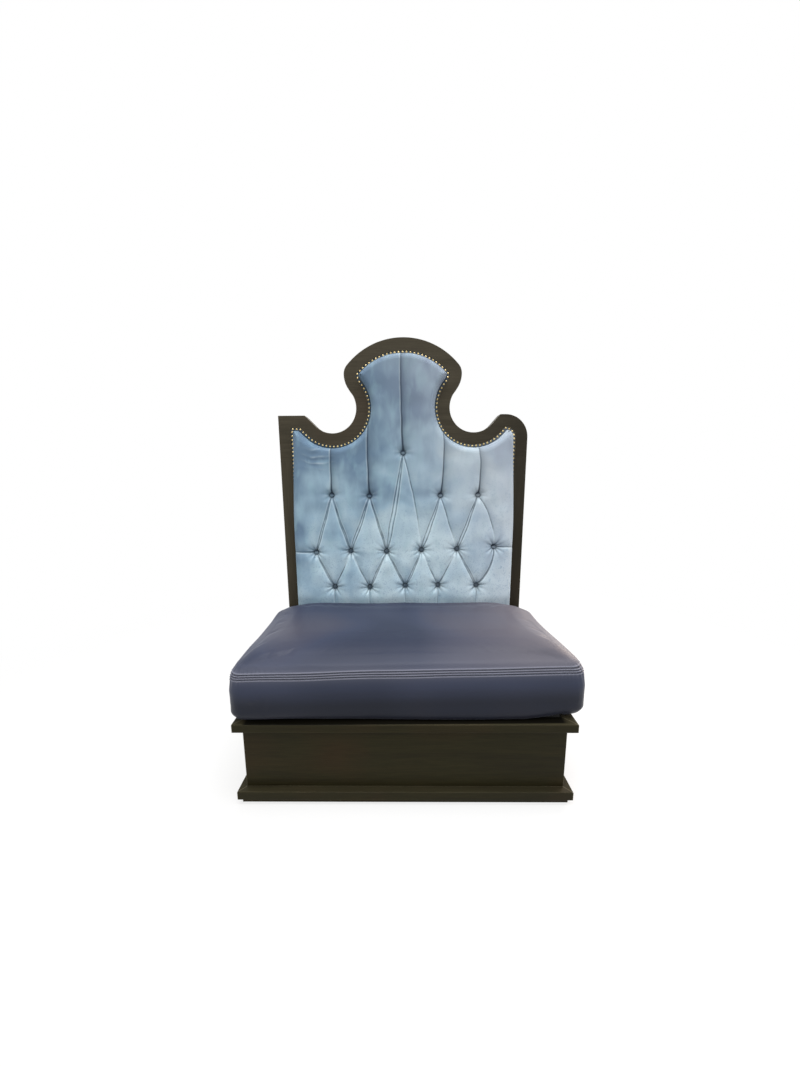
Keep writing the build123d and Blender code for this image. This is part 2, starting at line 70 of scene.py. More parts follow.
def addNode(tree, kind, inputs=None, ramp=None, **settings):
    node = tree.nodes.new("ShaderNode" + kind)
    for name, value in settings.items():
        setattr(node, name, value)
    if ramp:
        stops = node.color_ramp.elements
        while len(stops) < len(ramp):
            stops.new(0.5)
        for stop, (place, colour) in zip(stops, ramp):
            stop.position = place
            stop.color = colour
    setInputs(tree, node, inputs or {})
    return node


def newMaterial(name, surfaceInputs):
    material = bpy.data.materials.new(name)
    material.use_nodes = True
    tree = material.node_tree
    tree.nodes.clear()
    surface = addNode(tree, "BsdfPrincipled", surfaceInputs)
    addNode(tree, "OutputMaterial", {"Surface": surface})
    coords = addNode(tree, "TexCoord").outputs["Object"]
    return material, tree, surface, coords


def patternAt(coords, sizes, offset=(0, 0, 0)):
    # inputs of a Mapping node: one unit of the pattern is this many millimetres along each axis
    return {"Vector": coords, "Location": offset, "Scale": [1 / (size * mm) for size in sizes]}


def spread(value, source, result):
    # inputs of a Map Range node: a source range is spread over a result range
    return {"Value": value, 1: source[0], 2: source[1], 3: result[0], 4: result[1]}


def rampStops(places, codes):
    return [(place, hexColour(code)) for place, code in zip(places, codes)]


def addPiece(name, bm, body, material):
    mesh = bpy.data.meshes.new(name)
    bm.to_mesh(mesh)
    bm.free()
    obj = bpy.data.objects.new(name, mesh)
    bpy.context.scene.collection.objects.link(obj)
    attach(obj, body)
    mesh.materials.append(material)
    smoothFaces(obj)
    return obj


def smoothFaces(obj, smooth=True):
    for face in obj.data.polygons:
        face.use_smooth = smooth


def thicken(bm, depth):
    # gives a flat face its depth, towards the front
    forward = bmesh.ops.extrude_face_region(bm, geom=bm.faces[:])["geom"]
    moved = [item for item in forward if isinstance(item, bmesh.types.BMVert)]
    bmesh.ops.translate(bm, verts=moved, vec=(0, -depth * mm, 0))
    bmesh.ops.recalc_face_normals(bm, faces=bm.faces)


def applyModifiers(obj):
    graph = bpy.context.evaluated_depsgraph_get()
    mesh = bpy.data.meshes.new_from_object(obj.evaluated_get(graph))
    obj.modifiers.clear()
    obj.data = mesh


def addEvenGrid(obj, voxel):
    remesh = obj.modifiers.new("even grid", "REMESH")
    remesh.mode = "VOXEL"
    remesh.voxel_size = voxel * mm


def makeFiner(obj):
    finer = obj.modifiers.new("finer", "SUBSURF")
    finer.levels = finer.render_levels = 1
    applyModifiers(obj)


def readPoints(obj):
    flat = np.empty(len(obj.data.vertices) * 3)
    obj.data.vertices.foreach_get("co", flat)
    return flat.reshape(-1, 3) / mm


def readNormals(obj):
    flat = np.empty(len(obj.data.vertices) * 3)
    obj.data.vertices.foreach_get("normal", flat)
    return flat.reshape(-1, 3)


def writePoints(obj, points):
    obj.data.vertices.foreach_set("co", (points * mm).ravel())
    obj.data.update()


def writeShade(obj, name, values):
    # one value for each point, which the materials read
    obj.data.attributes.new(name, "FLOAT", "POINT").data.foreach_set("value", values)


def smoothStep(low, high, values):
    share = np.clip((values - low) / (high - low), 0, 1)
    return share * share * (3 - 2 * share)


def bell(distance, width):
    return np.exp(-(distance / width) ** 2)


def softWaves(a, b, wavelength, seed):
    # a gentle uneven surface from about -1 to 1, made of crossing waves
    waveCount = 9
    shortest, longest = 0.6, 1.7
    calm = 1.5
    draw = np.random.default_rng(seed)
    total = np.zeros_like(a)
    for _ in range(waveCount):
        angle, phase = draw.uniform(0, 2 * math.pi, 2)
        length = wavelength * draw.uniform(shortest, longest)
        total += np.sin(2 * math.pi * (a * math.cos(angle) + b * math.sin(angle)) / length + phase)
    return total / math.sqrt(waveCount) / calm


# Stained hardwood, oiled: nearly black brown, grain only just seen, edges rubbed paler with a painted
# highlight on them, and painted light and shade on the tops, to the right and under the seat.
# The thin oil leaves a weak soft gloss, so the specular level is low for an IOR of 1.5.
# A pair of pairs says over which range a change runs, and its amounts from start to end.
stainedWood = {
    "frame": {"dark": "#3b372c", "middle": "#423d32", "light": "#494438", "warm": "#483d32"},
    # the base's tones are darker than the frame's, partly as painted shade low down
    "box": {"dark": "#262213", "middle": "#2c2918", "light": "#332e1d", "warm": "#3a2a1b"},
    "paleTone": "#8a836f", "gloss": ((0.3, 0.7), (0.42, 0.58)),
    # painted shade: both tones are made darker towards the right, where less light falls
    "paintedShadeRight": {"frame": 0.6, "box": 0.88}, "paintedShadeOver": (0.2, 0.5),    # darker to the right, metres
    "figureAcross": 42, "figureAlong": 640,      # mm, the broad flame of the grain
    "figureStops": (0.3, 0.5, 0.72),
    "patch": 310,                                # mm, warmer and more scuffed places
    "warmth": ((0.5, 0.75), (0.0, 0.5)), "scuffs": ((0.35, 0.65), (0.35, 0.85)),
    "poreAcross": 1.8, "poreAlong": 80,          # mm, pores drawn twice as coarse as oak's own
    "pores": ((0.38, 0.6), (0.84, 1.07)), "poreDepth": 0.4,
    # edges are rubbed paler, and the same pale mix is a painted highlight along them
    "edgeWidth": 3.2,                            # mm, how far the rubbing reaches from an edge
    "jointReach": 5,                             # mm, how far from the filled joint nothing is rubbed
    # upward faces are made paler: painted top light
    "edge": ((0.985, 0.8), (0.0, 1.0)), "paintedTopLight": ((0.5, 0.9), (0.0, 0.06)),
    # where the seat's painted shadow lies on the tops of the rails, in metres: out from the middle, and
    # back along Y
    "paintedSeatShadow": {"across": (0.53, 0.545), "behind": (-0.3155, -0.3125), "slant": -0.012, "depth": 0.001,
                  "tone": 0.1},
}


def stainedWoodAlong(part, grain, offset):
    look = stainedWood
    tones = look[part]
    material, tree, surface, coords = newMaterial(
        "stained wood of the " + part + ", grain along " + grain, {"IOR": 1.5, "Specular IOR Level": 0.09}
    )
    axis = "xyz".index(grain)
    figureSizes = [look["figureAcross"]] * 3
    figureSizes[axis] = look["figureAlong"]
    poreSizes = [look["poreAcross"]] * 3
    poreSizes[axis] = look["poreAlong"]
    figureCoords = addNode(tree, "Mapping", patternAt(coords, figureSizes, offset))
    figure = addNode(tree, "TexNoise", {"Vector": figureCoords, "Scale": 1, "Detail": 4, "Distortion": 0.9})
    stops = rampStops(look["figureStops"], (tones["dark"], tones["middle"], tones["light"]))
    stain = addNode(tree, "ValToRGB", {"Fac": figure}, ramp=stops)
    patchCoords = addNode(tree, "Mapping", patternAt(coords, [look["patch"]] * 3, offset))
    patch = addNode(tree, "TexNoise", {"Vector": patchCoords, "Scale": 1, "Detail": 2})
    warmth = addNode(tree, "MapRange", spread(patch, *look["warmth"]))
    warmed = addNode(tree, "MixRGB", {"Fac": warmth, "Color1": stain, "Color2": hexColour(tones["warm"])})
    poreCoords = addNode(tree, "Mapping", patternAt(coords, poreSizes, offset))
    pores = addNode(tree, "TexNoise", {"Vector": poreCoords, "Scale": 1, "Detail": 3})
    poreMask = addNode(tree, "MapRange", spread(pores, *look["pores"]))
    place = addNode(tree, "SeparateXYZ", {"Vector": coords})
    # painted shade, darker towards the right
    paintedShading = (1.0, look["paintedShadeRight"][part])
    paintedShadeRight = addNode(tree, "MapRange", spread(place.outputs["X"], look["paintedShadeOver"], paintedShading))
    depth = addNode(tree, "Math", {0: poreMask, 1: paintedShadeRight}, operation="MULTIPLY")
    grained = addNode(tree, "VectorMath", {0: warmed, "Scale": depth}, operation="SCALE")
    rounded = addNode(tree, "Bevel", {"Radius": look["edgeWidth"] * mm}, samples=6)
    trueNormal = addNode(tree, "NewGeometry").outputs["True Normal"]
    along = addNode(tree, "VectorMath", {0: rounded, 1: trueNormal}, operation="DOT_PRODUCT")
    edge = addNode(tree, "MapRange", spread(along.outputs["Value"], *look["edge"]))
    # the flush joint between the stiles and the crest is filled, so neither rubbing nor a painted edge
    # highlight is put there
    atJoint = addNode(tree, "Math", {
        0: place.outputs["Z"], 1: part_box("left_stile")[1].z, 2: look["jointReach"] * mm,
    }, operation="COMPARE")
    elsewhere = addNode(tree, "Math", {0: 1.0, 1: atJoint}, operation="SUBTRACT")
    wornAndHighlitEdge = addNode(tree, "Math", {0: edge, 1: elsewhere}, operation="MULTIPLY")
    scuffs = addNode(tree, "MapRange", spread(patch, *look["scuffs"]))
    facing = addNode(tree, "SeparateXYZ", {"Vector": trueNormal})
    # painted top light: faces that look upwards are made paler
    paintedTopLight = addNode(tree, "MapRange", spread(facing.outputs["Z"], *look["paintedTopLight"]))
    # the pale mix: rubbed edges with a painted highlight on them, and painted top light on upward faces
    wearAndPaintedLight = addNode(tree, "Math", {0: wornAndHighlitEdge, 1: scuffs, 2: paintedTopLight}, operation="MULTIPLY_ADD")
    stained = addNode(tree, "MixRGB", {"Fac": wearAndPaintedLight, "Color1": grained, "Color2": hexColour(look["paleTone"])})
    if part == "box":
        # painted shadow: the rails' tops are made nearly black where the seat overhangs them, as next to no
        # light gets in there
        seatShadow = look["paintedSeatShadow"]
        across = addNode(tree, "Math", {0: place.outputs["X"]}, operation="ABSOLUTE")
        within = addNode(tree, "MapRange", spread(across, seatShadow["across"], (1.0, 0.0)))
        behind = addNode(tree, "Math", {
            0: place.outputs["X"], 1: seatShadow["slant"], 2: place.outputs["Y"],
        }, operation="MULTIPLY_ADD")
        covered = addNode(tree, "MapRange", spread(behind, seatShadow["behind"], (0.0, 1.0)))
        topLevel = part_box("seat_rail_front")[1].z - seatShadow["depth"]
        atTop = addNode(tree, "Math", {0: place.outputs["Z"], 1: topLevel}, operation="GREATER_THAN")
        under = addNode(tree, "Math", {0: within, 1: covered}, operation="MULTIPLY")
        shaded = addNode(tree, "Math", {0: under, 1: atTop}, operation="MULTIPLY")
        share = addNode(tree, "MapRange", spread(shaded, (0.0, 1.0), (1.0, seatShadow["tone"])))
        stained = addNode(tree, "VectorMath", {0: stained, "Scale": share}, operation="SCALE")
    gloss = addNode(tree, "MapRange", spread(figure, *look["gloss"]))
    bump = addNode(tree, "Bump", {"Height": pores, "Strength": 0.25, "Distance": look["poreDepth"] * mm})
    setInputs(tree, surface, {"Base Color": stained, "Roughness": gloss, "Normal": bump})
    return material


# Plywood: rotary-cut birch faces with a wide calm figure, and thin plies seen as stripes on the edges.
plywoodLook = {
    "birch": {"face": "#c39f6f", "dark": "#a98350", "ply": "#8b6436"},
    "stained": {"face": "#2b261e", "dark": "#1b1813", "ply": "#4a4030"},
    "figure": (90, 90, 700), "figureStops": (0.35, 0.62), "plyThickness": 2.6, "plyShare": 0.7,    # mm
    "fibre": (1.4, 1.4, 60), "fibreDepth": 0.3, "roughness": 0.62,
}


def plywoodOf(kind, name):
    # all the plywood stands upright and faces the front, so its plies lie along Y
    look = plywoodLook
    tones = look[kind]
    material, tree, surface, coords = newMaterial(name, {"IOR": 1.48, "Roughness": look["roughness"]})
    figureCoords = addNode(tree, "Mapping", patternAt(coords, look["figure"]))
    figure = addNode(tree, "TexNoise", {"Vector": figureCoords, "Scale": 1, "Detail": 5, "Distortion": 1.4})
    stops = rampStops(look["figureStops"], (tones["dark"], tones["face"]))
    face = addNode(tree, "ValToRGB", {"Fac": figure}, ramp=stops)
    place = addNode(tree, "SeparateXYZ", {"Vector": coords})
    pliesPerMetre = 1 / (2 * look["plyThickness"] * mm)
    layers = addNode(tree, "Math", {0: place.outputs["Y"], 1: pliesPerMetre}, operation="MULTIPLY")
    stripe = addNode(tree, "Math", {0: layers}, operation="FRACT")
    dark = addNode(tree, "Math", {0: stripe, 1: 0.5}, operation="GREATER_THAN")
    normal = addNode(tree, "SeparateXYZ", {"Vector": addNode(tree, "NewGeometry").outputs["True Normal"]})
    facing = addNode(tree, "Math", {0: normal.outputs["Y"]}, operation="ABSOLUTE")
    isEdge = addNode(tree, "Math", {0: facing, 1: 0.5}, operation="LESS_THAN")
    onEdge = addNode(tree, "Math", {0: isEdge, 1: dark}, operation="MULTIPLY")
    softer = addNode(tree, "Math", {0: onEdge, 1: look["plyShare"]}, operation="MULTIPLY")
    mixed = addNode(tree, "MixRGB", {"Fac": softer, "Color1": face, "Color2": hexColour(tones["ply"])})
    fibreCoords = addNode(tree, "Mapping", patternAt(coords, look["fibre"]))
    fibres = addNode(tree, "TexNoise", {"Vector": fibreCoords, "Scale": 1, "Detail": 2})
    bump = addNode(tree, "Bump", {"Height": fibres, "Strength": 0.3, "Distance": look["fibreDepth"] * mm})
    setInputs(tree, surface, {"Base Color": mixed, "Normal": bump})
    return material


# Cotton velvet, a cut pile that leans: brushed one way it shines pale, the other way it goes deep.
# Hence the broad cloudy patches and the shine at grazing angles; the dark folds and their pale lips are
# painted shade and painted highlights.
velvetLook = {
    "deep": "#677f96", "pile": "#90aabb", "brushed": "#b5c9d2", "pileStops": (0.3, 0.48, 0.66),
    "paintedShade": "#0f1d31", "paintedHighlight": "#d5e4ea", "lilacSheen": "#b9b6c0", "teal": "#86a8b5", "fleck": "#7390a8",
    "sheen": "#c8dae8", "roughness": 0.85,
    "cloud": 170, "brushMark": (38, 38, 105), "fleckSize": 15, "pileGrain": 1.6,   # mm, pile drawn coarse
    "clouds": ((0, 1), (0.2, 0.8)), "marks": ((0, 1), (-0.09, 0.09)), "pileDepth": 0.5,
    "markShift": (3, 1, 2), "fleckShift": (7, 2, 5),
    "tealMarks": ((0.5, 0.7), (0.0, 0.35)), "crushed": ((0.53, 0.68), (0.0, 0.5)),
    # painted light, over metres: paler low down and darker upwards, darker to the left and paler to the
    # right, and a lilac painted sheen along a slant of the two
    "paintedLightUp": ((0.7, 1.55), (0.1, -0.14)), "paintedLightRight": ((-0.5, 0.35), (-0.14, 0.07)),
    "slant": 0.35, "lilacSheenPart": ((0.0, 0.48), (0.0, 0.42)),
    # the turn is painted light, scaling the velvet brighter low down and darker at the crest
    "seatedPart": ((0.7, 1.2), (1.0, 0.15)), "paintedLightOver": (0.6, 1.5), "turn": (1.38, 0.95),
}


def cottonVelvet(name, shade):
    look = velvetLook
    material, tree, surface, coords = newMaterial(name, {
        "IOR": 1.46, "Roughness": look["roughness"], "Specular IOR Level": 0.15,
        "Sheen Weight": 0.35, "Sheen Roughness": 0.4, "Sheen Tint": hexColour(look["sheen"]),
    })
    cloudCoords = addNode(tree, "Mapping", patternAt(coords, [look["cloud"]] * 3))
    clouds = addNode(tree, "TexNoise", {"Vector": cloudCoords, "Scale": 1, "Detail": 2, "Distortion": 0.5})
    markCoords = addNode(tree, "Mapping", patternAt(coords, look["brushMark"], look["markShift"]))
    marks = addNode(tree, "TexNoise", {"Vector": markCoords, "Scale": 1, "Detail": 3, "Distortion": 0.4})
    faintMarks = addNode(tree, "MapRange", spread(marks, *look["marks"]))
    softClouds = addNode(tree, "MapRange", spread(clouds, *look["clouds"]))
    nap = addNode(tree, "Math", {0: softClouds, 1: faintMarks}, operation="ADD")
    place = addNode(tree, "SeparateXYZ", {"Vector": coords})
    low = addNode(tree, "MapRange", spread(place.outputs["Z"], *look["paintedLightUp"]))
    side = addNode(tree, "MapRange", spread(place.outputs["X"], *look["paintedLightRight"]))
    paintedLightShift = addNode(tree, "Math", {0: low, 1: side}, operation="ADD")
    slantShares = {0: place.outputs["Z"], 1: look["slant"], 2: -look["slant"]}
    slant = addNode(tree, "Math", slantShares, operation="MULTIPLY_ADD")
    turned = addNode(tree, "Math", {0: slant, 1: place.outputs["X"]}, operation="ADD")
    brushed = addNode(tree, "Math", {0: nap, 1: paintedLightShift}, operation="ADD")
    stops = rampStops(look["pileStops"], (look["deep"], look["pile"], look["brushed"]))
    pile = addNode(tree, "ValToRGB", {"Fac": brushed}, ramp=stops)
    tealPart = addNode(tree, "MapRange", spread(marks, *look["tealMarks"]))
    # painted sheen: a lilac tint towards the right and upwards
    lilacSheen = addNode(tree, "MapRange", spread(turned, *look["lilacSheenPart"]))
    fleckCoords = addNode(tree, "Mapping", patternAt(coords, [look["fleckSize"]] * 3, look["fleckShift"]))
    flecks = addNode(tree, "TexNoise", {"Vector": fleckCoords, "Scale": 1, "Detail": 4, "Distortion": 2.2})
    crushed = addNode(tree, "MapRange", spread(flecks, *look["crushed"]))
    seatedPart = addNode(tree, "MapRange", spread(place.outputs["Z"], *look["seatedPart"]))
    fleckMask = addNode(tree, "Math", {0: crushed, 1: seatedPart}, operation="MULTIPLY")
    # painted highlights and painted shade, kept on each piece's points
    paintedHighlight = addNode(tree, "Attribute", attribute_name="paintedHighlight").outputs["Fac"]
    tone = pile
    for mask, colour in ((tealPart, "teal"), (lilacSheen, "lilacSheen"), (fleckMask, "fleck"), (paintedHighlight, "paintedHighlight")):
        tone = addNode(tree, "MixRGB", {"Fac": mask, "Color1": tone, "Color2": hexColour(look[colour])})
    # painted light: the velvet is made brighter low down and darker at the crest, as the light falls on it
    amounts = [amount * shade for amount in look["turn"]]
    turn = addNode(tree, "MapRange", spread(place.outputs["Z"], look["paintedLightOver"], amounts))
    shaded = addNode(tree, "VectorMath", {0: tone, "Scale": turn}, operation="SCALE")
    crease = addNode(tree, "Attribute", attribute_name="paintedShade").outputs["Fac"]
    folded = addNode(tree, "MixRGB", {"Fac": crease, "Color1": shaded, "Color2": hexColour(look["paintedShade"])})
    grainCoords = addNode(tree, "Mapping", patternAt(coords, [look["pileGrain"]] * 3))
    grain = addNode(tree, "TexNoise", {"Vector": grainCoords, "Scale": 1, "Detail": 2})
    bump = addNode(tree, "Bump", {"Height": grain, "Strength": 0.25, "Distance": look["pileDepth"] * mm})
    setInputs(tree, surface, {"Base Color": folded, "Normal": bump})
    return material


# Coated upholstery leather, navy: an embossed fine grain under a thin finish that mirrors softly. It
# carries painted shade in the seam's grooves and towards the border's foot, painted highlights on the seam,
# and a painted sheen on the top's right part.
leatherLook = {
    "deep": "#313749", "navy": "#393f53", "worn": "#494855", "hideStops": (0.3, 0.5, 0.75),
    "crease": "#0b0d13", "ridge": "#a2a4b4", "paleTone": "#67636a", "sheen": "#c9cede",
    # painted sheen, over metres: paler to the right, and only on the top
    "paintedSheenRight": ((0.05, 0.42), (0.0, 0.62)), "paintedSheenTop": ((0.465, 0.495), (0.0, 1.0)),
    "pebble": 2.4, "pebbleDepth": 0.3, "patch": 420,    # mm, the grain drawn twice its real size
    "gloss": ((0.3, 0.7), (0.5, 0.4)),
}


def navyLeather():
    look = leatherLook
    material, tree, surface, coords = newMaterial("coated leather", {
        "IOR": 1.5, "Specular IOR Level": 0.2, "Sheen Weight": 0.16, "Sheen Roughness": 0.4,
        "Sheen Tint": hexColour(look["sheen"]),
    })
    patchCoords = addNode(tree, "Mapping", patternAt(coords, [look["patch"]] * 3))
    patches = addNode(tree, "TexNoise", {"Vector": patchCoords, "Scale": 1, "Detail": 1, "Distortion": 0.3})
    stops = rampStops(look["hideStops"], (look["deep"], look["navy"], look["worn"]))
    hide = addNode(tree, "ValToRGB", {"Fac": patches}, ramp=stops)
    place = addNode(tree, "SeparateXYZ", {"Vector": coords})
    # painted sheen: a paler tone on the top's right part, as a warm reflection
    right = addNode(tree, "MapRange", spread(place.outputs["X"], *look["paintedSheenRight"]))
    top = addNode(tree, "MapRange", spread(place.outputs["Z"], *look["paintedSheenTop"]))
    paintedSheenPart = addNode(tree, "Math", {0: right, 1: top}, operation="MULTIPLY")
    # painted shade in the seam's grooves and towards the border's foot; painted highlights on the seam's
    # ridges and beside it
    crease = addNode(tree, "Attribute", attribute_name="paintedShade").outputs["Fac"]
    ridge = addNode(tree, "Attribute", attribute_name="paintedHighlight").outputs["Fac"]
    tone = hide
    for mask, colour in ((paintedSheenPart, "paleTone"), (ridge, "ridge"), (crease, "crease")):
        tone = addNode(tree, "MixRGB", {"Fac": mask, "Color1": tone, "Color2": hexColour(look[colour])})
    pebbleCoords = addNode(tree, "Mapping", patternAt(coords, [look["pebble"]] * 3))
    pebbles = addNode(tree, "TexVoronoi", {"Vector": pebbleCoords, "Scale": 1}, feature="SMOOTH_F1")
    gloss = addNode(tree, "MapRange", spread(patches, *look["gloss"]))
    bump = addNode(tree, "Bump", {
        "Height": pebbles, "Strength": 0.2, "Distance": look["pebbleDepth"] * mm,
    })
    setInputs(tree, surface, {"Base Color": tone, "Roughness": gloss, "Normal": bump})
    return material


def plainFinish(name, colour, darker, surfaceInputs, patchSize, bumpDepth):
    # one tone that drifts between two colours over a real distance, with a fine uneven surface
    driftStops = (0.35, 0.62)
    material, tree, surface, coords = newMaterial(name, surfaceInputs)
    patchCoords = addNode(tree, "Mapping", patternAt(coords, [patchSize] * 3))
    patches = addNode(tree, "TexNoise", {"Vector": patchCoords, "Scale": 1, "Detail": 4})
    stops = rampStops(driftStops, (darker, colour))
    tone = addNode(tree, "ValToRGB", {"Fac": patches}, ramp=stops)
    bump = addNode(tree, "Bump", {"Height": patches, "Strength": 0.4, "Distance": bumpDepth * mm})
    setInputs(tree, surface, {"Base Color": tone, "Normal": bump})
    return material


boxWoodX = stainedWoodAlong("box", "x", (4, 1, 0))
boxWoodY = stainedWoodAlong("box", "y", (5, 2, 1))
frameWoodX = stainedWoodAlong("frame", "x", (3, 1, 6))
frameWoodZ = stainedWoodAlong("frame", "z", (2, 7, 4))
birchPly = plywoodOf("birch", "birch plywood")
stainedPly = plywoodOf("stained", "stained plywood")
padVelvet = cottonVelvet("blue cotton velvet", 1.0)
# the buttons' velvet is a copy painted darker: painted shade
buttonVelvet = cottonVelvet("button velvet", 0.75)
leather = navyLeather()
# Brass-plated steel nails, tarnished a little: a pale gold mirror with brown in the hollows.
nailBrass = plainFinish(
    "tarnished brass plate", "#c8b68a", "#94845f", {"Metallic": 1.0, "Roughness": 0.36},
    patchSize=9, bumpDepth=0.1,
)
# Zinc-plated steel: grey, slightly cloudy.
zincSteel = plainFinish(
    "zinc plate", "#b9bcc0", "#8f9296", {"Metallic": 1.0, "Roughness": 0.35}, patchSize=12, bumpDepth=0.1
)
# Spun-bonded polypropylene: thin black non-woven cloth, quite matt.
spunCloth = plainFinish(
    "black spun-bonded cloth", "#101010", "#060606", {"Roughness": 0.9}, patchSize=3, bumpDepth=0.3
)
# Bonded nylon thread, a shade paler than the leather.
seamThread = plainFinish(
    "nylon thread", "#5d6172", "#434756", {"Roughness": 0.5}, patchSize=4, bumpDepth=0.1
)
# Polyether foam: cream, open cells.
creamFoam = plainFinish(
    "polyether foam", "#e6dcb8", "#cbbd92", {"Roughness": 0.95}, patchSize=6, bumpDepth=0.6
)

nodeFinishes = {
    boxWoodX: ["plinth_front", "plinth_rear", "lower_ledge_front", "lower_ledge_rear", "seat_rail_front",
               "seat_rail_rear", "front_panel"],
    boxWoodY: ["plinth_left", "plinth_right", "lower_ledge_left", "lower_ledge_right", "seat_rail_left",
               "seat_rail_right", "left_side_panel", "right_side_panel"],
    frameWoodX: ["pad_rail", "crest_frame"],
    frameWoodZ: ["left_stile", "right_stile"],
    birchPly: ["base_rear_panel", "centre_divider", "corner_blocks", "bolting_rail", "frame_dowels",
               "pad_board", "back_battens", "locating_blocks"],
    stainedPly: ["back_panel"],
    padVelvet: ["back_cover"],
    buttonVelvet: ["tuft_buttons"],
    leather: ["seat_cover"],
    nailBrass: ["nail_heads"],
    zincSteel: ["joining_bolts", "joining_washers", "tee_nuts"],
    spunCloth: ["seat_board", "dust_cover"],
    creamFoam: ["back_foam", "seat_foam"],
}
for finish, names in nodeFinishes.items():
    for name in names:
        mesh = nodes[name].data
        mesh.materials.clear()
        mesh.materials.append(finish)
print("finishes on", sum(len(names) for names in nodeFinishes.values()), "nodes")


# Tufted velvet pad. Places are millimetres across and up, seen from the front.
tuftedPad = {
    "board": "pad_board", "voxel": 5, "thickness": 45, "edgeRound": 28, "frontFrom": (0.3, 0.7),
    "depthPower": 1.3,                           # tufts fade towards the pad's foot
    "borderThickness": 2, "borderShade": 0.75,
    "footInset": 14, "insetWeld": 3, "footFade": 60,    # the pad's foot lies inside the nails
    "rearWithin": 1,
    "overhang": 17, "overhangLow": (850, 1330), "overhangOut": (400, 450), "overhangRise": (6, 16),
    "buttonRadius": 9.5, "buttonHeight": 4.5, "buttonDepth": 24, "buttonTilt": 0.15,
    "buttonRim": 2, "buttonShade": 0.78,
    "litButtons": ("A", "B1", "B2", "B3", "B4", "C1", "C6"), "litFrom": (-2, 6), "litShade": (0.3, 0.6),
    "dimpleDepth": 23, "dimpleRadius": 66, "dimplePower": 2.8,
    "tufts": {
        "A": (0, 1216),
        "B1": (-322, 1031), "B2": (-152, 1027), "B3": (167, 1028), "B4": (335, 1029),
        "C1": (-402, 769), "C2": (-243, 774), "C3": (-78, 771), "C4": (82, 778), "C5": (245, 781),
        "C6": (415, 792),
        "D1": (-322, 602), "D2": (-158, 600), "D3": (7, 607), "D4": (160, 609), "D5": (339, 608),
    },
    # start, end, sideways bend, depth, reach of the soft hollow, width of the flat fold
    "pleats": [
        ("A", (-7, 1640), -4, 12, 80, 0),
        ("B1", (-318, 1250), 0, 10, 70, 0),
        ("B2", (-152, 1350), -3, 11, 75, 0),
        ("B3", (174, 1330), 10, 12, 75, 0),
        ("B4", (330, 1260), 10, 11, 70, 0),
        ("A", "C3", 4, 10, 60, 24),
        ("A", "C4", 11, 8, 60, 0),
        ("B1", "C1", 3, 9, 55, 11),
        ("B1", "C2", 0, 9, 55, 9),
        ("B2", "C2", 3, 10, 55, 15),
        ("B2", "C3", 2, 9, 55, 8),
        ("B3", "C4", 0, 10, 55, 20),
        ("B3", "C5", 0, 8, 55, 0),
        ("B4", "C5", 0, 10, 55, 18),
        ("B4", "C6", 22, 9, 55, 0),
        ("C1", "D1", 0, 9, 45, 9),
        ("C2", "D1", 4, 10, 45, 0),
        ("C2", "D2", 0, 9, 45, 0),
        ("C3", "D2", 0, 10, 45, 10),
        ("C3", "D3", 3, 9, 45, 8),
        ("C4", "D3", 3, 10, 45, 11),
        ("C4", "D4", 0, 5, 45, 0),
        ("C5", "D4", 0, 9, 45, 0),
        ("C5", "D5", 0, 9, 45, 10),
        ("C6", "D5", 20, 10, 45, 6),
        ("C1", (-500, 771), 0, 8, 40, 0),
        ("C6", (500, 790), 0, 8, 40, 0),
        ("D1", (-320, 470), 0, 8, 45, 0),
        ("D2", (-158, 470), 0, 8, 45, 0),
        ("D3", (8, 470), 0, 8, 45, 0),
        ("D4", (158, 470), 0, 8, 45, 0),
        ("D5", (336, 470), 0, 8, 45, 0),
    ],
    "creaseDepth": 6, "creaseNear": 2.4, "creaseFar": 13, "slackMiddle": 0.3, "slackEnd": 0.35,
    "wobble": 1.8, "wobbleLength": 110, "uneven": 0.2, "unevenLength": 45,
    "lineWidth": 2.3, "lipOffset": 4.6, "lipWidth": 2.2,
    "waveHeight": 1.3, "waveLength": 120, "leastDepth": 0.3,
    # shares from 0 to 1 count along a fold from its start, or say how dark or pale it is
    "flatFold": {"opening": 0.7, "closing": 6, "outside": 2.5, "dark": 0.8, "paintedHighlight": 0.35, "middleLip": 0.5,
                 "leastHalf": 3},
    "singleFold": {"turnsPale": (0.5, 0.85), "turnsDark": (0.25, 0.6), "far": 0.6, "shallower": 0.5,
                   "dark": 0.9, "fainter": 0.8, "paintedHighlight": 0.6, "besideLip": 0.35},
    "edgeFold": {"levelWithin": 40, "dark": 0.95, "darkDown": 0.5, "lineWidth": 3.7,
                 "flare": 9, "flareRight": 1.9, "flareLeft": 0.6,
                 "shade": 0.5, "shadeReach": 24, "shadeFrom": (0, 0.06),
                 "paintedHighlight": 0.6, "lipFrom": (0.08, 0.2)},
    "well": {"reach": 5, "turn": 0.02, "above": 0.6, "aboveReach": 9},
    "rays": {"fewest": 9, "most": 13, "second": 0.6, "fewer": 4, "upper": 0.4, "height": 2.8, "reach": 17,
             "from": (5, 12), "dark": 0.95, "darkFrom": (0.2, 1), "paintedHighlight": 0.75, "lipFrom": (0.3, 1.1),
             "lipAway": (3, 8)},
    "lowerLip": {"pale": 0.55, "away": 7, "width": 4},
    "wrinkles": {"place": (-378, 1196), "reach": (56, 38), "spacing": 27, "height": 0.9,
                 "leftOff": (-1.6, -0.4), "slant": 0.1, "bend": 9, "bendLength": 110,
                 "patchLength": 60, "patchShare": 0.6, "pale": 0.42, "paleFrom": (0.4, 1)},
    "seatShade": {"from": (540, 574), "dark": 0.26},
}


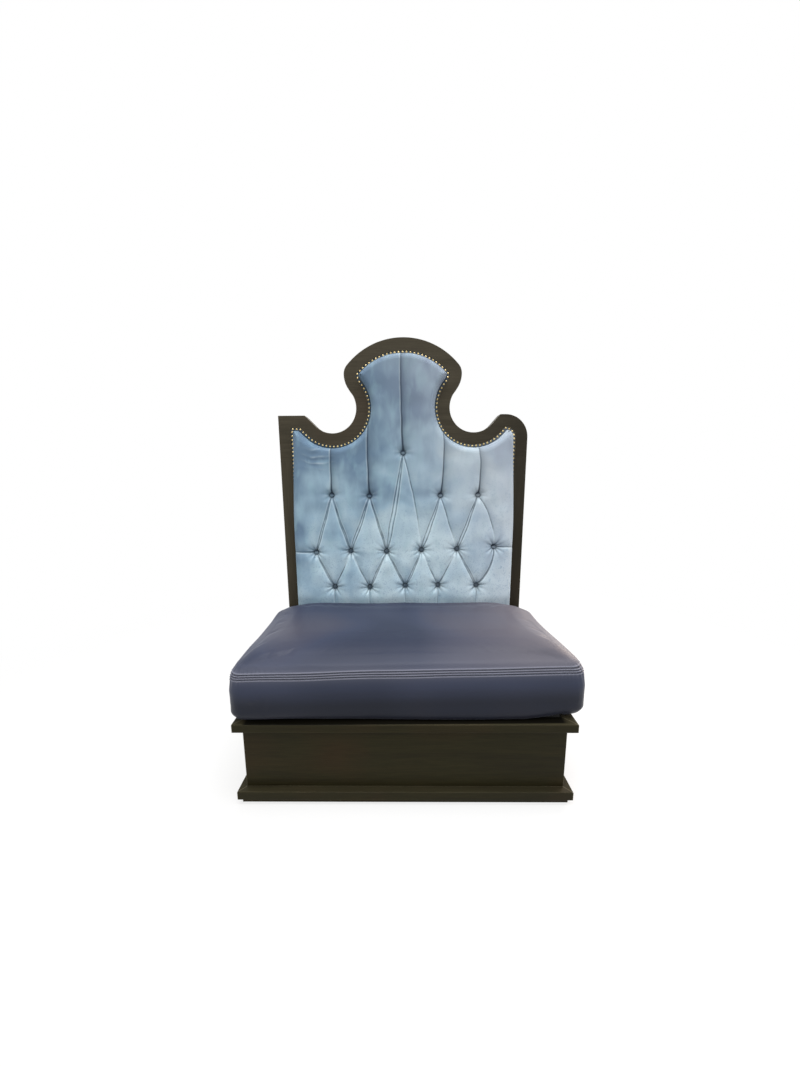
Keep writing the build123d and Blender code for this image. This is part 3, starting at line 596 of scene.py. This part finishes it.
def boardFace(nodeName, inset=0):
    # the front of a CAD board as one face, drawn in all round by an inset
    bm = bmesh.new()
    bm.from_mesh(nodes[nodeName].data)
    bmesh.ops.remove_doubles(bm, verts=bm.verts, dist=tiny * mm)
    flatWithin = 0.1
    behind = min(v.co.y for v in bm.verts) + flatWithin * mm
    others = [f for f in bm.faces if f.calc_center_median().y > behind]
    bmesh.ops.delete(bm, geom=others, context="FACES")
    bmesh.ops.dissolve_faces(bm, faces=bm.faces)
    if inset:
        rim = bmesh.ops.inset_region(
            bm, faces=bm.faces, thickness=inset * mm, use_even_offset=True, use_boundary=True
        )["faces"]
        bmesh.ops.delete(bm, geom=rim, context="FACES")
        # at tight bends an inset leaves tiny loops, which merge away
        bmesh.ops.remove_doubles(bm, verts=bm.verts, dist=tuftedPad["insetWeld"] * mm)
    return bm


def edgeDistance(spots, outline):
    # how far each spot lies inside the outline, and the way inwards from there
    steadyWithin = 2    # so near the outline, the side it faces gives the way
    best = np.full(len(spots), np.inf)
    inward = np.zeros((len(spots), 2))
    following = np.roll(outline, -1, axis=0)
    area = np.sum(outline[:, 0] * following[:, 1] - following[:, 0] * outline[:, 1])
    for start, end in zip(outline, following):
        run = end - start
        length = math.hypot(*run)
        if length < tiny:
            continue
        share = np.clip((spots - start) @ run / length ** 2, 0, 1)
        gap = spots - (start + share[:, None] * run)
        distance = np.hypot(gap[:, 0], gap[:, 1])
        closer = distance < best
        best[closer] = distance[closer]
        side = np.array([-run[1], run[0]]) / length * np.sign(area)
        away = gap / np.maximum(distance, tiny)[:, None]
        way = np.where(distance[:, None] > steadyWithin, away, side)
        inward[closer] = way[closer]
    return best, inward


def padShape(points, outline, boardY):
    # rounds the pad's edge and lets its lower sides bulge over the nails
    look = tuftedPad
    depth = look["thickness"]
    edge, inward = edgeDistance(points[:, [0, 2]], outline)
    height = boardY - points[:, 1]
    radius = look["edgeRound"]
    a = np.clip(radius - edge, 0, None)
    b = np.clip(height - (depth - radius), 0, None)
    squeeze = np.maximum(a, b) / np.maximum(np.hypot(a, b), tiny)
    roundedEdge = np.where((a > 0) & (b > 0), radius - a * squeeze, edge)
    roundedHeight = np.where((a > 0) & (b > 0), depth - radius + b * squeeze, height)
    fade = (1 - np.clip(roundedEdge / look["footFade"], 0, 1)) ** 2
    low = 1 - smoothStep(*look["overhangLow"], points[:, 2])
    atSide = smoothStep(*look["overhangOut"], np.abs(points[:, 0])) * low
    belly = smoothStep(*look["overhangRise"], roundedHeight)
    move = roundedEdge - edge - look["overhang"] * atSide * belly * fade
    shaped = points.copy()
    shaped[:, 0] += inward[:, 0] * move
    shaped[:, 2] += inward[:, 1] * move
    shaped[:, 1] = boardY - roundedHeight
    return shaped


def pleatPath(start, end, bend):
    # a gentle curve between two places, bent sideways at its middle
    start, end = np.array(start, float), np.array(end, float)
    placeCount = 11
    shares = np.linspace(0, 1, placeCount)
    line = start + shares[:, None] * (end - start)
    line[:, 0] += bend * 4 * shares * (1 - shares)
    return line


def alongPath(x, z, path):
    # signed distance to the right of a path, and how far along it the nearest place is
    best = np.full(len(x), np.inf)
    signed = np.zeros(len(x))
    progress = np.zeros(len(x))
    pieceCount = len(path) - 1
    for i in range(pieceCount):
        runX, runZ = path[i + 1] - path[i]
        length = math.hypot(runX, runZ)
        offX, offZ = x - path[i][0], z - path[i][1]
        share = np.clip((offX * runX + offZ * runZ) / length ** 2, 0, 1)
        distance = np.hypot(offX - share * runX, offZ - share * runZ)
        closer = distance < best
        side = np.sign(offX * runZ - offZ * runX) * (-1 if runZ < 0 else 1)
        best[closer] = distance[closer]
        signed[closer] = (distance * side)[closer]
        progress[closer] = (i + share[closer]) / pieceCount
    return signed, progress


def tuftDepth(x, z):
    # how deep each place lies under the pad's full front, how much painted shade it takes in folds, wells
    # and at the foot, and how much painted highlight on a fold's pale lip
    look = tuftedPad
    flat, single, atEdge = look["flatFold"], look["singleFold"], look["edgeFold"]
    power = 3
    soft, sharp, pucker, paintedShade, paintedHighlight = np.zeros((5, len(x)))
    wobble = look["wobble"] * softWaves(x, z, look["wobbleLength"], seed=41)
    uneven = 1 - look["uneven"] + look["uneven"] * softWaves(x, z, look["unevenLength"], seed=42)
    for start, end, bend, depth, reach, ribbon in look["pleats"]:
        toTuft = isinstance(end, str)
        path = pleatPath(look["tufts"][start], look["tufts"][end] if toTuft else end, bend)
        signed, progress = alongPath(x, z, path)
        middle = 4 * progress * (1 - progress)
        signed = signed + wobble * middle
        distance = np.abs(signed)
        fullness = 1 - look["slackMiddle"] * middle if toTuft else 1 - look["slackEnd"] * progress
        soft += (depth * fullness * (1 - np.clip(distance / reach, 0, 1)) ** 2) ** power
        beside = bell(signed + look["lipOffset"], look["lipWidth"])
        if ribbon:
            # a flat fold has two creases with cloth between them, drawn as lines of painted shade with a
            # painted highlight between
            half = ribbon / 2 * progress ** flat["opening"] * (1 - progress ** flat["closing"])
            for side in (-1, 1):
                offset = signed - side * half
                near = look["creaseNear"] * np.where(offset * side < 0, 1, flat["outside"])
                crease = flat["dark"] * np.exp(-np.abs(offset) / near)
                sharp = np.maximum(sharp, look["creaseDepth"] * crease)
                paintedShade = np.maximum(paintedShade, flat["dark"] * uneven * bell(offset, look["lineWidth"]))
                beyond = offset - side * look["lipOffset"]
                paintedHighlight = np.maximum(paintedHighlight, flat["paintedHighlight"] * bell(beyond, look["lipWidth"]))
            between = middle * bell(signed, look["lipWidth"]) * (half > flat["leastHalf"])
            paintedHighlight = np.maximum(paintedHighlight, flat["middleLip"] * between)
        elif toTuft:
            # a single fold's line of painted shade turns to a painted highlight on its way, or back in the
            # lowest row
            pale = smoothStep(*single["turnsPale"], progress)
            if end.startswith("D"):
                pale = 1 - smoothStep(*single["turnsDark"], progress)
            line = bell(distance, look["lineWidth"])
            near = np.where(signed < 0, look["creaseNear"], look["creaseFar"] * single["far"])
            crease = fullness * np.exp(-distance / near) * (1 - single["shallower"] * pale)
            sharp = np.maximum(sharp, look["creaseDepth"] * crease)
            paintedShade = np.maximum(paintedShade, single["dark"] * uneven * line * (1 - single["fainter"] * pale))
            paintedHighlight = np.maximum(paintedHighlight, np.maximum(single["paintedHighlight"] * pale * line, single["besideLip"] * beside))
        else:
            # a fold to the pad's edge opens out where it leaves its tuft, most of all on the right, and its
            # painted shade spreads to the right of it
            level = abs(path[-1][1] - path[0][1]) < atEdge["levelWithin"]
            near = np.where(signed < 0, look["creaseNear"], look["creaseFar"])
            sharp = np.maximum(sharp, look["creaseDepth"] * fullness * np.exp(-distance / near))
            upwards = path[-1][1] > path[0][1]
            dark = fullness * (atEdge["dark"] if upwards or level else atEdge["darkDown"])
            flare = np.where(signed > 0, atEdge["flareRight"], atEdge["flareLeft"])
            width = look["lineWidth"] if level else atEdge["lineWidth"]
            width = width * (1 + flare * np.exp(-progress * atEdge["flare"]))
            paintedShade = np.maximum(paintedShade, dark * bell(distance, width))
            if not level:
                shade = atEdge["shade"] * dark * np.exp(-np.clip(signed, 0, None) / atEdge["shadeReach"])
                paintedShade = np.maximum(paintedShade, shade * (signed > 0) * smoothStep(*atEdge["shadeFrom"], progress))
            started = smoothStep(*atEdge["lipFrom"], progress)
            paintedHighlight = np.maximum(paintedHighlight, atEdge["paintedHighlight"] * uneven * beside * started)
    draw = np.random.default_rng(11)
    well, rays, lowerLip = look["well"], look["rays"], look["lowerLip"]
    for name, (tuftX, tuftZ) in look["tufts"].items():
        r = np.hypot(x - tuftX, z - tuftZ)
        angle = np.arctan2(z - tuftZ, x - tuftX)
        away = np.clip(r - look["buttonRadius"], 0, None)
        hollow = 1 - np.clip(away / (look["dimpleRadius"] - look["buttonRadius"]), 0, 1)
        soft += (look["dimpleDepth"] * hollow ** look["dimplePower"]) ** power
        count = draw.integers(rays["fewest"], rays["most"])
        ripple = np.sin(count * angle + draw.uniform(*phaseRange))
        ripple += rays["second"] * np.sin((count - rays["fewer"]) * angle + draw.uniform(*phaseRange))
        strength = 1.0 if name[0] in "CD" else rays["upper"]
        reach = strength * np.exp(-away / rays["reach"])
        pucker += rays["height"] * ripple * reach * smoothStep(*rays["from"], r)
        # painted shade: the well of a button is dark, most of all above it, and its rays carry painted
        # shade and painted highlights
        around = np.exp(-away / well["reach"]) * (1 - well["turn"] + well["turn"] * np.sin(angle))
        above = well["above"] * np.exp(-away / well["aboveReach"]) * np.clip(np.sin(angle), 0, 1)
        paintedShade = np.maximum(paintedShade, np.maximum(around, above))
        paintedShade = np.maximum(paintedShade, rays["dark"] * reach * smoothStep(*rays["darkFrom"], ripple))
        pale = smoothStep(*rays["lipFrom"], -ripple) * smoothStep(*rays["lipAway"], away)
        paintedHighlight = np.maximum(paintedHighlight, rays["paintedHighlight"] * reach * pale)
        # painted highlight on the lower side of each well
        below = bell(away - lowerLip["away"], lowerLip["width"]) * np.clip(-np.sin(angle), 0, 1)
        paintedHighlight = np.maximum(paintedHighlight, lowerLip["pale"] * strength * below)
    # wrinkles under the left scoop, with painted highlights on their ridges
    wrinkles = look["wrinkles"]
    acrossShare = (x - wrinkles["place"][0]) / wrinkles["reach"][0]
    upShare = (z - wrinkles["place"][1]) / wrinkles["reach"][1]
    inside = np.exp(-acrossShare ** 2 - upShare ** 2) * smoothStep(*wrinkles["leftOff"], acrossShare)
    bent = z + wrinkles["slant"] * x + wrinkles["bend"] * softWaves(x, z, wrinkles["bendLength"], seed=31)
    ripples = np.sin(2 * math.pi * bent / wrinkles["spacing"])
    patches = softWaves(x, z, wrinkles["patchLength"], seed=33)
    patchy = np.clip(wrinkles["patchShare"] * (1 + patches), 0, 1)
    paintedHighlight = np.maximum(paintedHighlight, wrinkles["pale"] * inside * patchy * smoothStep(*wrinkles["paleFrom"], ripples))
    # the seat takes the light from the foot of the velvet
    seatShade = look["seatShade"]
    paintedShade = np.maximum(paintedShade, seatShade["dark"] * (1 - smoothStep(*seatShade["from"], z)))
    waves = look["waveHeight"] * (1 + softWaves(x, z, look["waveLength"], seed=5))
    total = soft ** (1 / power) + sharp + pucker + waves + wrinkles["height"] * inside * (1 - ripples)
    paintedShade = np.clip(paintedShade, 0, 1)
    return np.clip(total, look["leastDepth"], None), paintedShade, np.clip(paintedHighlight, 0, 1) * (1 - paintedShade)


def makeTuftedPad():
    look = tuftedPad
    bm = boardFace(look["board"], look["footInset"])
    bm.faces.ensure_lookup_table()
    outline = np.array([(v.co.x, v.co.z) for v in bm.faces[0].verts]) / mm
    boardY = bm.verts[:][0].co.y / mm
    thicken(bm, look["thickness"])
    pad = addPiece("tufted_pad", bm, "base_and_back", padVelvet)
    addEvenGrid(pad, look["voxel"])
    applyModifiers(pad)
    # the back lies on the board, so it needs no fine grid
    bm = bmesh.new()
    bm.from_mesh(pad.data)
    rear = [f for f in bm.faces if all(v.co.y > (boardY - look["rearWithin"]) * mm for v in f.verts)]
    bmesh.ops.delete(bm, geom=rear, context="FACES")
    bm.to_mesh(pad.data)
    bm.free()
    makeFiner(pad)
    bm = bmesh.new()
    bm.from_mesh(pad.data)
    rim = [e for e in bm.edges if e.is_boundary]
    for edge in rim:
        for v in edge.verts:
            v.co.y = boardY * mm
    closed = bmesh.ops.holes_fill(bm, edges=rim, sides=0)["faces"]
    bmesh.ops.triangulate(bm, faces=closed, ngon_method="EAR_CLIP")
    bmesh.ops.recalc_face_normals(bm, faces=bm.faces)
    bm.to_mesh(pad.data)
    bm.free()
    points = padShape(readPoints(pad), outline, boardY)
    height = np.clip((boardY - points[:, 1]) / look["thickness"], 0, 1)
    depth, paintedShade, paintedHighlight = tuftDepth(points[:, 0], points[:, 2])
    points[:, 1] += depth * height ** look["depthPower"]
    points[:, 1] = np.minimum(points[:, 1], boardY)
    writePoints(pad, points)
    onFront = smoothStep(*look["frontFrom"], height)
    writeShade(pad, "paintedShade", paintedShade * onFront)
    writeShade(pad, "paintedHighlight", paintedHighlight * onFront)
    smoothFaces(pad)
    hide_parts("back_cover", "back_foam")
    print("pad:", len(pad.data.polygons), "faces")


def makeVelvetBorder():
    # the flat edge of the cover, which the nails hold
    look = tuftedPad
    bm = boardFace(look["board"])
    thicken(bm, look["borderThickness"])
    border = addPiece("velvet_border", bm, "base_and_back", padVelvet)
    smoothFaces(border, False)
    # painted shade: the border lies in the shadow of the nails and the frame, so it is darkened all over
    writeShade(border, "paintedShade", np.full(len(border.data.vertices), look["borderShade"]))
    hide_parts("back_cover")


def makeButtons():
    look = tuftedPad
    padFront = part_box("back_cover")[0].y
    bm = bmesh.new()
    draw = np.random.default_rng(3)
    for x, z in look["tufts"].values():
        place = Vector((x * mm, padFront + look["buttonDepth"] * mm, z * mm))
        turns = draw.uniform(-look["buttonTilt"], look["buttonTilt"], 2)
        tilt = Matrix.Rotation(turns[0], 4, "X") @ Matrix.Rotation(turns[1], 4, "Z")
        squash = Matrix.Diagonal((1, look["buttonHeight"] / look["buttonRadius"], 1, 1))
        bmesh.ops.create_uvsphere(
            bm, u_segments=24, v_segments=14, radius=look["buttonRadius"] * mm,
            matrix=Matrix.Translation(place) @ tilt @ squash,
        )
    buttons = addPiece("covered_buttons", bm, "base_and_back", buttonVelvet)
    # a button lies in the shade of its well, but for the lower side of those that sit less deep
    points = readPoints(buttons)
    shade = np.full(len(points), look["buttonShade"])
    least, more = look["litShade"]
    for name in look["litButtons"]:
        x, z = look["tufts"][name]
        own = np.hypot(points[:, 0] - x, points[:, 2] - z) < look["buttonRadius"] + look["buttonRim"]
        shade[own] = least + more * smoothStep(*look["litFrom"], points[own, 2] - z)
    writeShade(buttons, "paintedShade", shade)
    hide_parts("tuft_buttons")
    print("buttons:", len(look["tufts"]))


makeTuftedPad()
makeVelvetBorder()
makeButtons()


# Leather seat cushion, blown up a little by cloth pressure. Sizes are millimetres.
seatCushion = {
    "voxel": 7, "shrink": 3, "pressure": 4, "frames": 20, "cap": 7, "sinkLimit": 1.5, "pinHeight": 6,
    "rearClearance": 0.6, "rest": 0.5,
    "seamHeight": 146, "seamTilt": 0.006, "seamWave": 1.6, "seamWaveLength": 320, "seamBand": 22,
    "seamLevels": (-7.5, 0, 7), "seamDepth": 2.2, "seamWidth": 1.9,
    "ridgeLevels": (-11.3, -3.8, 3.5, 10.8), "ridgeHeight": 1.1, "ridgeWidth": 1.9,
    "stitchPitch": 8, "stitchLength": 5.2, "stitchThickness": 0.9,
    "pucker": {"height": 2.2, "reach": 60, "count": 34, "centre": 90, "width": 26},    # at front corners
    "waveHeight": 1.4, "waveLength": 260, "upperBand": 60,
    # the ends and the rear of the crown are fuller than pressure alone leaves them
    "rightFill": 20, "leftFill": 6, "endFrom": (380, 590), "leftBack": (-260, -120),
    "rearFill": 8, "rearFrom": (60, 200), "endLift": 0.6,
    "lowFill": 6, "lowFillMore": 1.6, "lowFillRight": (-200, 300), "lowFillAt": 14, "lowFillWidth": 22,
    "onSide": (0.1, 0.5),
    # past the edge of its board the underside sags
    "sag": 9, "sagReach": 10, "sagHeight": 70, "sagMore": 0.9, "sagRight": (-450, 0),
    # painted shade towards the border's foot and in the seam's grooves, and painted highlights on the
    # seam's ridges and beside the seam
    "paintedShadeLow": 0.76, "paintedShadeBelow": (32, 108), "paintedShadeSide": (0.2, 0.7), "grooveDark": 0.66,
    "ridgeHighlight": 0.38, "seamHighlight": 0.18, "seamHighlightAt": 4, "seamHighlightWidth": 24,
}


def outerShell(nodeName):
    # the outside of a hollow CAD piece, without its inner walls
    bm = bmesh.new()
    bm.from_mesh(nodes[nodeName].data)
    bmesh.ops.remove_doubles(bm, verts=bm.verts, dist=tiny * mm)
    waiting = [max(bm.verts, key=lambda v: v.co.z)]
    outside = set(waiting)
    while waiting:
        for edge in waiting.pop().link_edges:
            for v in edge.verts:
                if v not in outside:
                    outside.add(v)
                    waiting.append(v)
    bmesh.ops.delete(bm, geom=[v for v in bm.verts if v not in outside], context="VERTS")
    return bm


def blowUp(cushion, floorLevel):
    # cloth pressure from inside, with the underside held and every point's way limited
    look = seatCushion
    start = readPoints(cushion)
    low = [int(i) for i in np.nonzero(start[:, 2] < floorLevel + look["pinHeight"])[0]]
    cushion.vertex_groups.new(name="held").add(low, 1.0, "REPLACE")
    normals = readNormals(cushion)
    cloth = cushion.modifiers.new("pressure", "CLOTH")
    cloth.settings.use_pressure = True
    cloth.settings.uniform_pressure_force = look["pressure"]
    cloth.settings.effector_weights.gravity = 0
    cloth.settings.vertex_group_mass = "held"
    cloth.point_cache.frame_end = look["frames"]
    for step in range(1, look["frames"] + 1):
        bpy.context.scene.frame_set(step)
    applyModifiers(cushion)
    bpy.context.scene.frame_set(1)
    moved = readPoints(cushion) - start
    length = np.linalg.norm(moved, axis=1)
    moved *= np.minimum(1, look["cap"] / np.maximum(length, tiny))[:, None]
    sunk = -np.sum(moved * normals, axis=1) - look["sinkLimit"]
    moved += normals * np.clip(sunk, 0, None)[:, None]
    writePoints(cushion, start + moved)
    print("cushion swelled by up to", round(float(length.max()), 1), "mm before the cap")


def seamHeight(x, y, level):
    # the seam wanders a little up and down as it goes round
    look = seatCushion
    wander = softWaves(x, y, look["seamWaveLength"], seed=21)
    return level + look["seamTilt"] * x + look["seamWave"] * wander


def makeSeatCushion():
    look = seatCushion
    low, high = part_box("seat_cover")
    floorLevel = low.z / mm
    seamLevel = floorLevel + look["seamHeight"]
    bm = outerShell("seat_cover")
    bmesh.ops.recalc_face_normals(bm, faces=bm.faces)
    cushion = addPiece("leather_cushion", bm, "seat", leather)
    addEvenGrid(cushion, look["voxel"])
    smaller = cushion.modifiers.new("smaller", "DISPLACE")
    smaller.mid_level = 0
    smaller.strength = -look["shrink"] * mm
    applyModifiers(cushion)
    blowUp(cushion, floorLevel)
    makeFiner(cushion)
    bm = bmesh.new()
    bm.from_mesh(cushion.data)
    band = [
        e for e in bm.edges if all(abs(v.co.z / mm - seamLevel) < look["seamBand"] for v in e.verts)
    ]
    bmesh.ops.subdivide_edges(bm, edges=band, cuts=1, use_grid_fill=True)
    bm.to_mesh(cushion.data)
    bm.free()
    cushion.data.update()
    points = readPoints(cushion)
    normals = readNormals(cushion)
    x, y, z = points.T
    seam = seamHeight(x, y, seamLevel)
    groove = sum(bell(z - seam - level, look["seamWidth"]) for level in look["seamLevels"])
    ridge = sum(bell(z - seam - level, look["ridgeWidth"]) for level in look["ridgeLevels"])
    upper = smoothStep(seamLevel - look["upperBand"], seamLevel, z)
    gather = look["pucker"]
    pucker = np.zeros(len(points))
    draw = np.random.default_rng(8)
    for cornerX, cornerY in ((low.x / mm, low.y / mm), (high.x / mm, low.y / mm)):
        reach = np.exp(-np.hypot(x - cornerX, y - cornerY) / gather["reach"])
        inwards = math.copysign(gather["centre"], cornerX)
        turn = np.arctan2(y - cornerY - gather["centre"], x - cornerX + inwards)
        ripple = np.sin(gather["count"] * turn + draw.uniform(*phaseRange))
        pucker += reach * ripple * bell(z - seamLevel, gather["width"])
    waves = softWaves(x, y, look["waveLength"], seed=14) * upper * look["waveHeight"]
    move = waves + gather["height"] * pucker - look["seamDepth"] * groove + look["ridgeHeight"] * ridge
    level = np.hypot(normals[:, 0], normals[:, 1])
    beforeEnd = 1 - look["endLift"] * smoothStep(*look["endFrom"], x)
    lowFill = look["lowFill"] * beforeEnd * (1 + look["lowFillMore"] * smoothStep(*look["lowFillRight"], x))
    atFoot = bell(z - floorLevel - look["lowFillAt"], look["lowFillWidth"])
    move += lowFill * smoothStep(*look["onSide"], level) * atFoot
    points += normals * move[:, None]
    points[:, 0] += look["rightFill"] * smoothStep(*look["endFrom"], x)
    points[:, 0] -= look["leftFill"] * smoothStep(*look["endFrom"], -x) * smoothStep(*look["leftBack"], y)
    points[:, 2] += look["rearFill"] * smoothStep(*look["rearFrom"], y) * upper
    boardLow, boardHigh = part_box("seat_board")
    beyond = np.maximum(np.abs(points[:, 0]) - boardHigh.x / mm, boardLow.y / mm - points[:, 1])
    nearFloor = 1 - smoothStep(0, look["sagHeight"], z - floorLevel)
    overhang = smoothStep(0, look["sagReach"], beyond)
    sag = look["sag"] * (1 + look["sagMore"] * smoothStep(*look["sagRight"], x))
    sag *= beforeEnd * overhang * nearFloor
    points[:, 1] = np.minimum(points[:, 1], high.y / mm - look["rearClearance"])
    points[:, 2] = np.maximum(points[:, 2], floorLevel + look["rest"]) - sag
    writePoints(cushion, points)
    # painted shade towards the border's foot; painted highlights on the seam's ridges and beside the seam
    paintedShadeLow = look["paintedShadeLow"] * smoothStep(*look["paintedShadeBelow"], seam - z) * smoothStep(*look["paintedShadeSide"], level)
    besideSeam = bell(z - seam - look["seamHighlightAt"], look["seamHighlightWidth"])
    pale = look["ridgeHighlight"] * ridge + look["seamHighlight"] * besideSeam
    writeShade(cushion, "paintedShade", np.clip(np.maximum(look["grooveDark"] * groove, paintedShadeLow), 0, 1))
    writeShade(cushion, "paintedHighlight", np.clip(pale, 0, 1))
    smoothFaces(cushion)
    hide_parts("seat_cover", "seat_foam")
    print("cushion:", len(cushion.data.polygons), "faces")
    return cushion, seamLevel


def ringAt(obj, level):
    # the loop in which a level plane cuts a piece, as points in order
    bm = bmesh.new()
    bm.from_mesh(obj.data)
    everything = bm.verts[:] + bm.edges[:] + bm.faces[:]
    cut = bmesh.ops.bisect_plane(
        bm, geom=everything, plane_co=(0, 0, level * mm), plane_no=(0, 0, 1),
        clear_inner=True, clear_outer=True,
    )["geom_cut"]
    here = next(v for v in cut if isinstance(v, bmesh.types.BMVert))
    ring = []
    seen = set()
    while here is not None:
        ring.append(here.co.copy())
        seen.add(here)
        following = [e.other_vert(here) for e in here.link_edges]
        here = next((v for v in following if v not in seen), None)
    bm.free()
    return ring


def makeTopstitching(cushion, seamLevel):
    look = seatCushion
    stitch = bmesh.new()
    bmesh.ops.create_uvsphere(stitch, u_segments=6, v_segments=4, radius=0.5)
    bmesh.ops.scale(stitch, verts=stitch.verts, vec=[
        look["stitchLength"] * mm, look["stitchThickness"] * mm, look["stitchThickness"] * mm,
    ])
    template = bpy.data.meshes.new("one stitch")
    stitch.to_mesh(template)
    stitch.free()
    bm = bmesh.new()
    count = 0
    for level in (look["seamLevels"][0], look["seamLevels"][-1]):
        ring = ringAt(cushion, seamLevel + level)
        ring.append(ring[0])
        sinceLast = 0.0
        for start, end in zip(ring, ring[1:]):
            sinceLast += (end - start).length / mm
            if sinceLast < look["stitchPitch"]:
                continue
            sinceLast = 0.0
            count += 1
            turn = (end - start).to_track_quat("X", "Z").to_matrix().to_4x4()
            wander = seamHeight(np.array([start.x / mm]), np.array([start.y / mm]), 0)[0] * mm
            placed = template.copy()
            placed.transform(Matrix.Translation(start + Vector((0, 0, wander))) @ turn)
            bm.from_mesh(placed)
            bpy.data.meshes.remove(placed)
    bpy.data.meshes.remove(template)
    addPiece("seam_stitches", bm, "seat", seamThread)
    print("stitches:", count)


cushion, seamLevel = makeSeatCushion()
makeTopstitching(cushion, seamLevel)


# Floor, light and camera
studio = {
    "floor": "#b4b4b2", "floorSize": 9, "floorGlow": 0.72, "sky": 0.42,
    "clearOver": (1.0, 2.6),    # metres from the origin over which the floor turns white
    # place, what it faces, size and power
    "lamps": {
        "key light": ((-1.5, -2.6, 2.9), (0, 0, 0.9), (2.2, 1.6), 36, "#fffaf2"),
        "fill light": ((2.4, -2.2, 2.2), (0, 0, 0.9), (2.0, 2.0), 21, "#f4f6ff"),
        "top light": ((0.1, -0.5, 4.6), (0, -0.2, 0.5), (3.0, 2.2), 136, "#ffffff"),
        "side light": ((2.3, 1.2, 1.3), (0.3, -0.2, 0.5), (1.4, 1.4), 44, "#ffe9d6"),
        "rear light": ((-0.4, 2.6, 2.8), (0, 0, 1.0), (2.4, 1.2), 14, "#ffffff"),
    },
}
white = (1, 1, 1, 1)


def raysThatSeeWhite(tree):
    rays = addNode(tree, "LightPath").outputs
    seen = addNode(tree, "Math", {0: rays["Is Camera Ray"], 1: rays["Is Glossy Ray"]}, operation="ADD")
    return addNode(tree, "Math", {0: seen, 1: rays["Is Transmission Ray"]}, operation="ADD", use_clamp=True)


def paleFloor():
    # matt paint that the camera and mirrors see as white, but for the object's shadow near it
    material = bpy.data.materials.new("matt pale paint")
    material.use_nodes = True
    tree = material.node_tree
    tree.nodes.clear()
    place = addNode(tree, "TexCoord").outputs["Object"]
    far = addNode(tree, "VectorMath", {0: place}, operation="LENGTH")
    glowing = spread(far.outputs["Value"], studio["clearOver"], (studio["floorGlow"], 1.0))
    glow = addNode(tree, "MapRange", glowing)
    shadowCatching = addNode(tree, "BsdfDiffuse", {"Color": white})
    shining = addNode(tree, "Emission", {"Color": white, "Strength": 1.0})
    bright = addNode(tree, "MixShader", {0: glow, 1: shadowCatching, 2: shining})
    plain = addNode(tree, "BsdfDiffuse", {"Color": hexColour(studio["floor"])})
    mixed = addNode(tree, "MixShader", {0: raysThatSeeWhite(tree), 1: plain, 2: bright})
    addNode(tree, "OutputMaterial", {"Surface": mixed})
    return material


def areaLight(name, place, target, size, power, colour):
    data = bpy.data.lights.new(name, "AREA")
    data.shape = "RECTANGLE"
    data.size, data.size_y = size
    data.energy = power
    data.color = hexColour(colour)[:3]
    lamp = bpy.data.objects.new(name, data)
    bpy.context.scene.collection.objects.link(lamp)
    lamp.location = place
    lamp.rotation_euler = (Vector(target) - Vector(place)).to_track_quat("-Z", "Y").to_euler()


def makeStudio():
    bm = bmesh.new()
    bmesh.ops.create_grid(bm, x_segments=1, y_segments=1, size=studio["floorSize"])
    mesh = bpy.data.meshes.new("floor")
    bm.to_mesh(mesh)
    bm.free()
    floor = bpy.data.objects.new("floor", mesh)
    bpy.context.scene.collection.objects.link(floor)
    mesh.materials.append(paleFloor())
    for name, settings in studio["lamps"].items():
        areaLight(name, *settings)
    world = bpy.data.worlds.new("studio")
    bpy.context.scene.world = world
    world.use_nodes = True
    tree = world.node_tree
    tree.nodes.clear()
    strength = addNode(tree, "MapRange", spread(raysThatSeeWhite(tree), (0.0, 1.0), (studio["sky"], 1.0)))
    sky = addNode(tree, "Background", {"Color": white, "Strength": strength})
    addNode(tree, "OutputWorld", {"Surface": sky})


# The camera stands in front of the seat at the height of a raised hand and looks slightly down.
photoCamera = {
    "place": (-0.0001, -1.385, 1.1245), "lens": 12.146, "sensor": 36,
    "pitch": 9.441, "turn": 0.547, "roll": -0.351,            # degrees
    "clipStart": 0.02,
}


def makeCamera():
    look = photoCamera
    data = bpy.data.cameras.new("camera")
    data.lens = look["lens"]
    data.sensor_width = look["sensor"]
    data.clip_start = look["clipStart"]
    camera = bpy.data.objects.new("camera", data)
    bpy.context.scene.collection.objects.link(camera)
    turn = Matrix.Rotation(math.radians(look["turn"]), 4, "Z")
    pitch = Matrix.Rotation(math.radians(90 - look["pitch"]), 4, "X")
    roll = Matrix.Rotation(math.radians(look["roll"]), 4, "Z")
    camera.matrix_world = Matrix.Translation(look["place"]) @ turn @ pitch @ roll
    bpy.context.scene.camera = camera


makeStudio()
makeCamera()
bpy.context.scene.view_settings.view_transform = "Standard"

print("done")
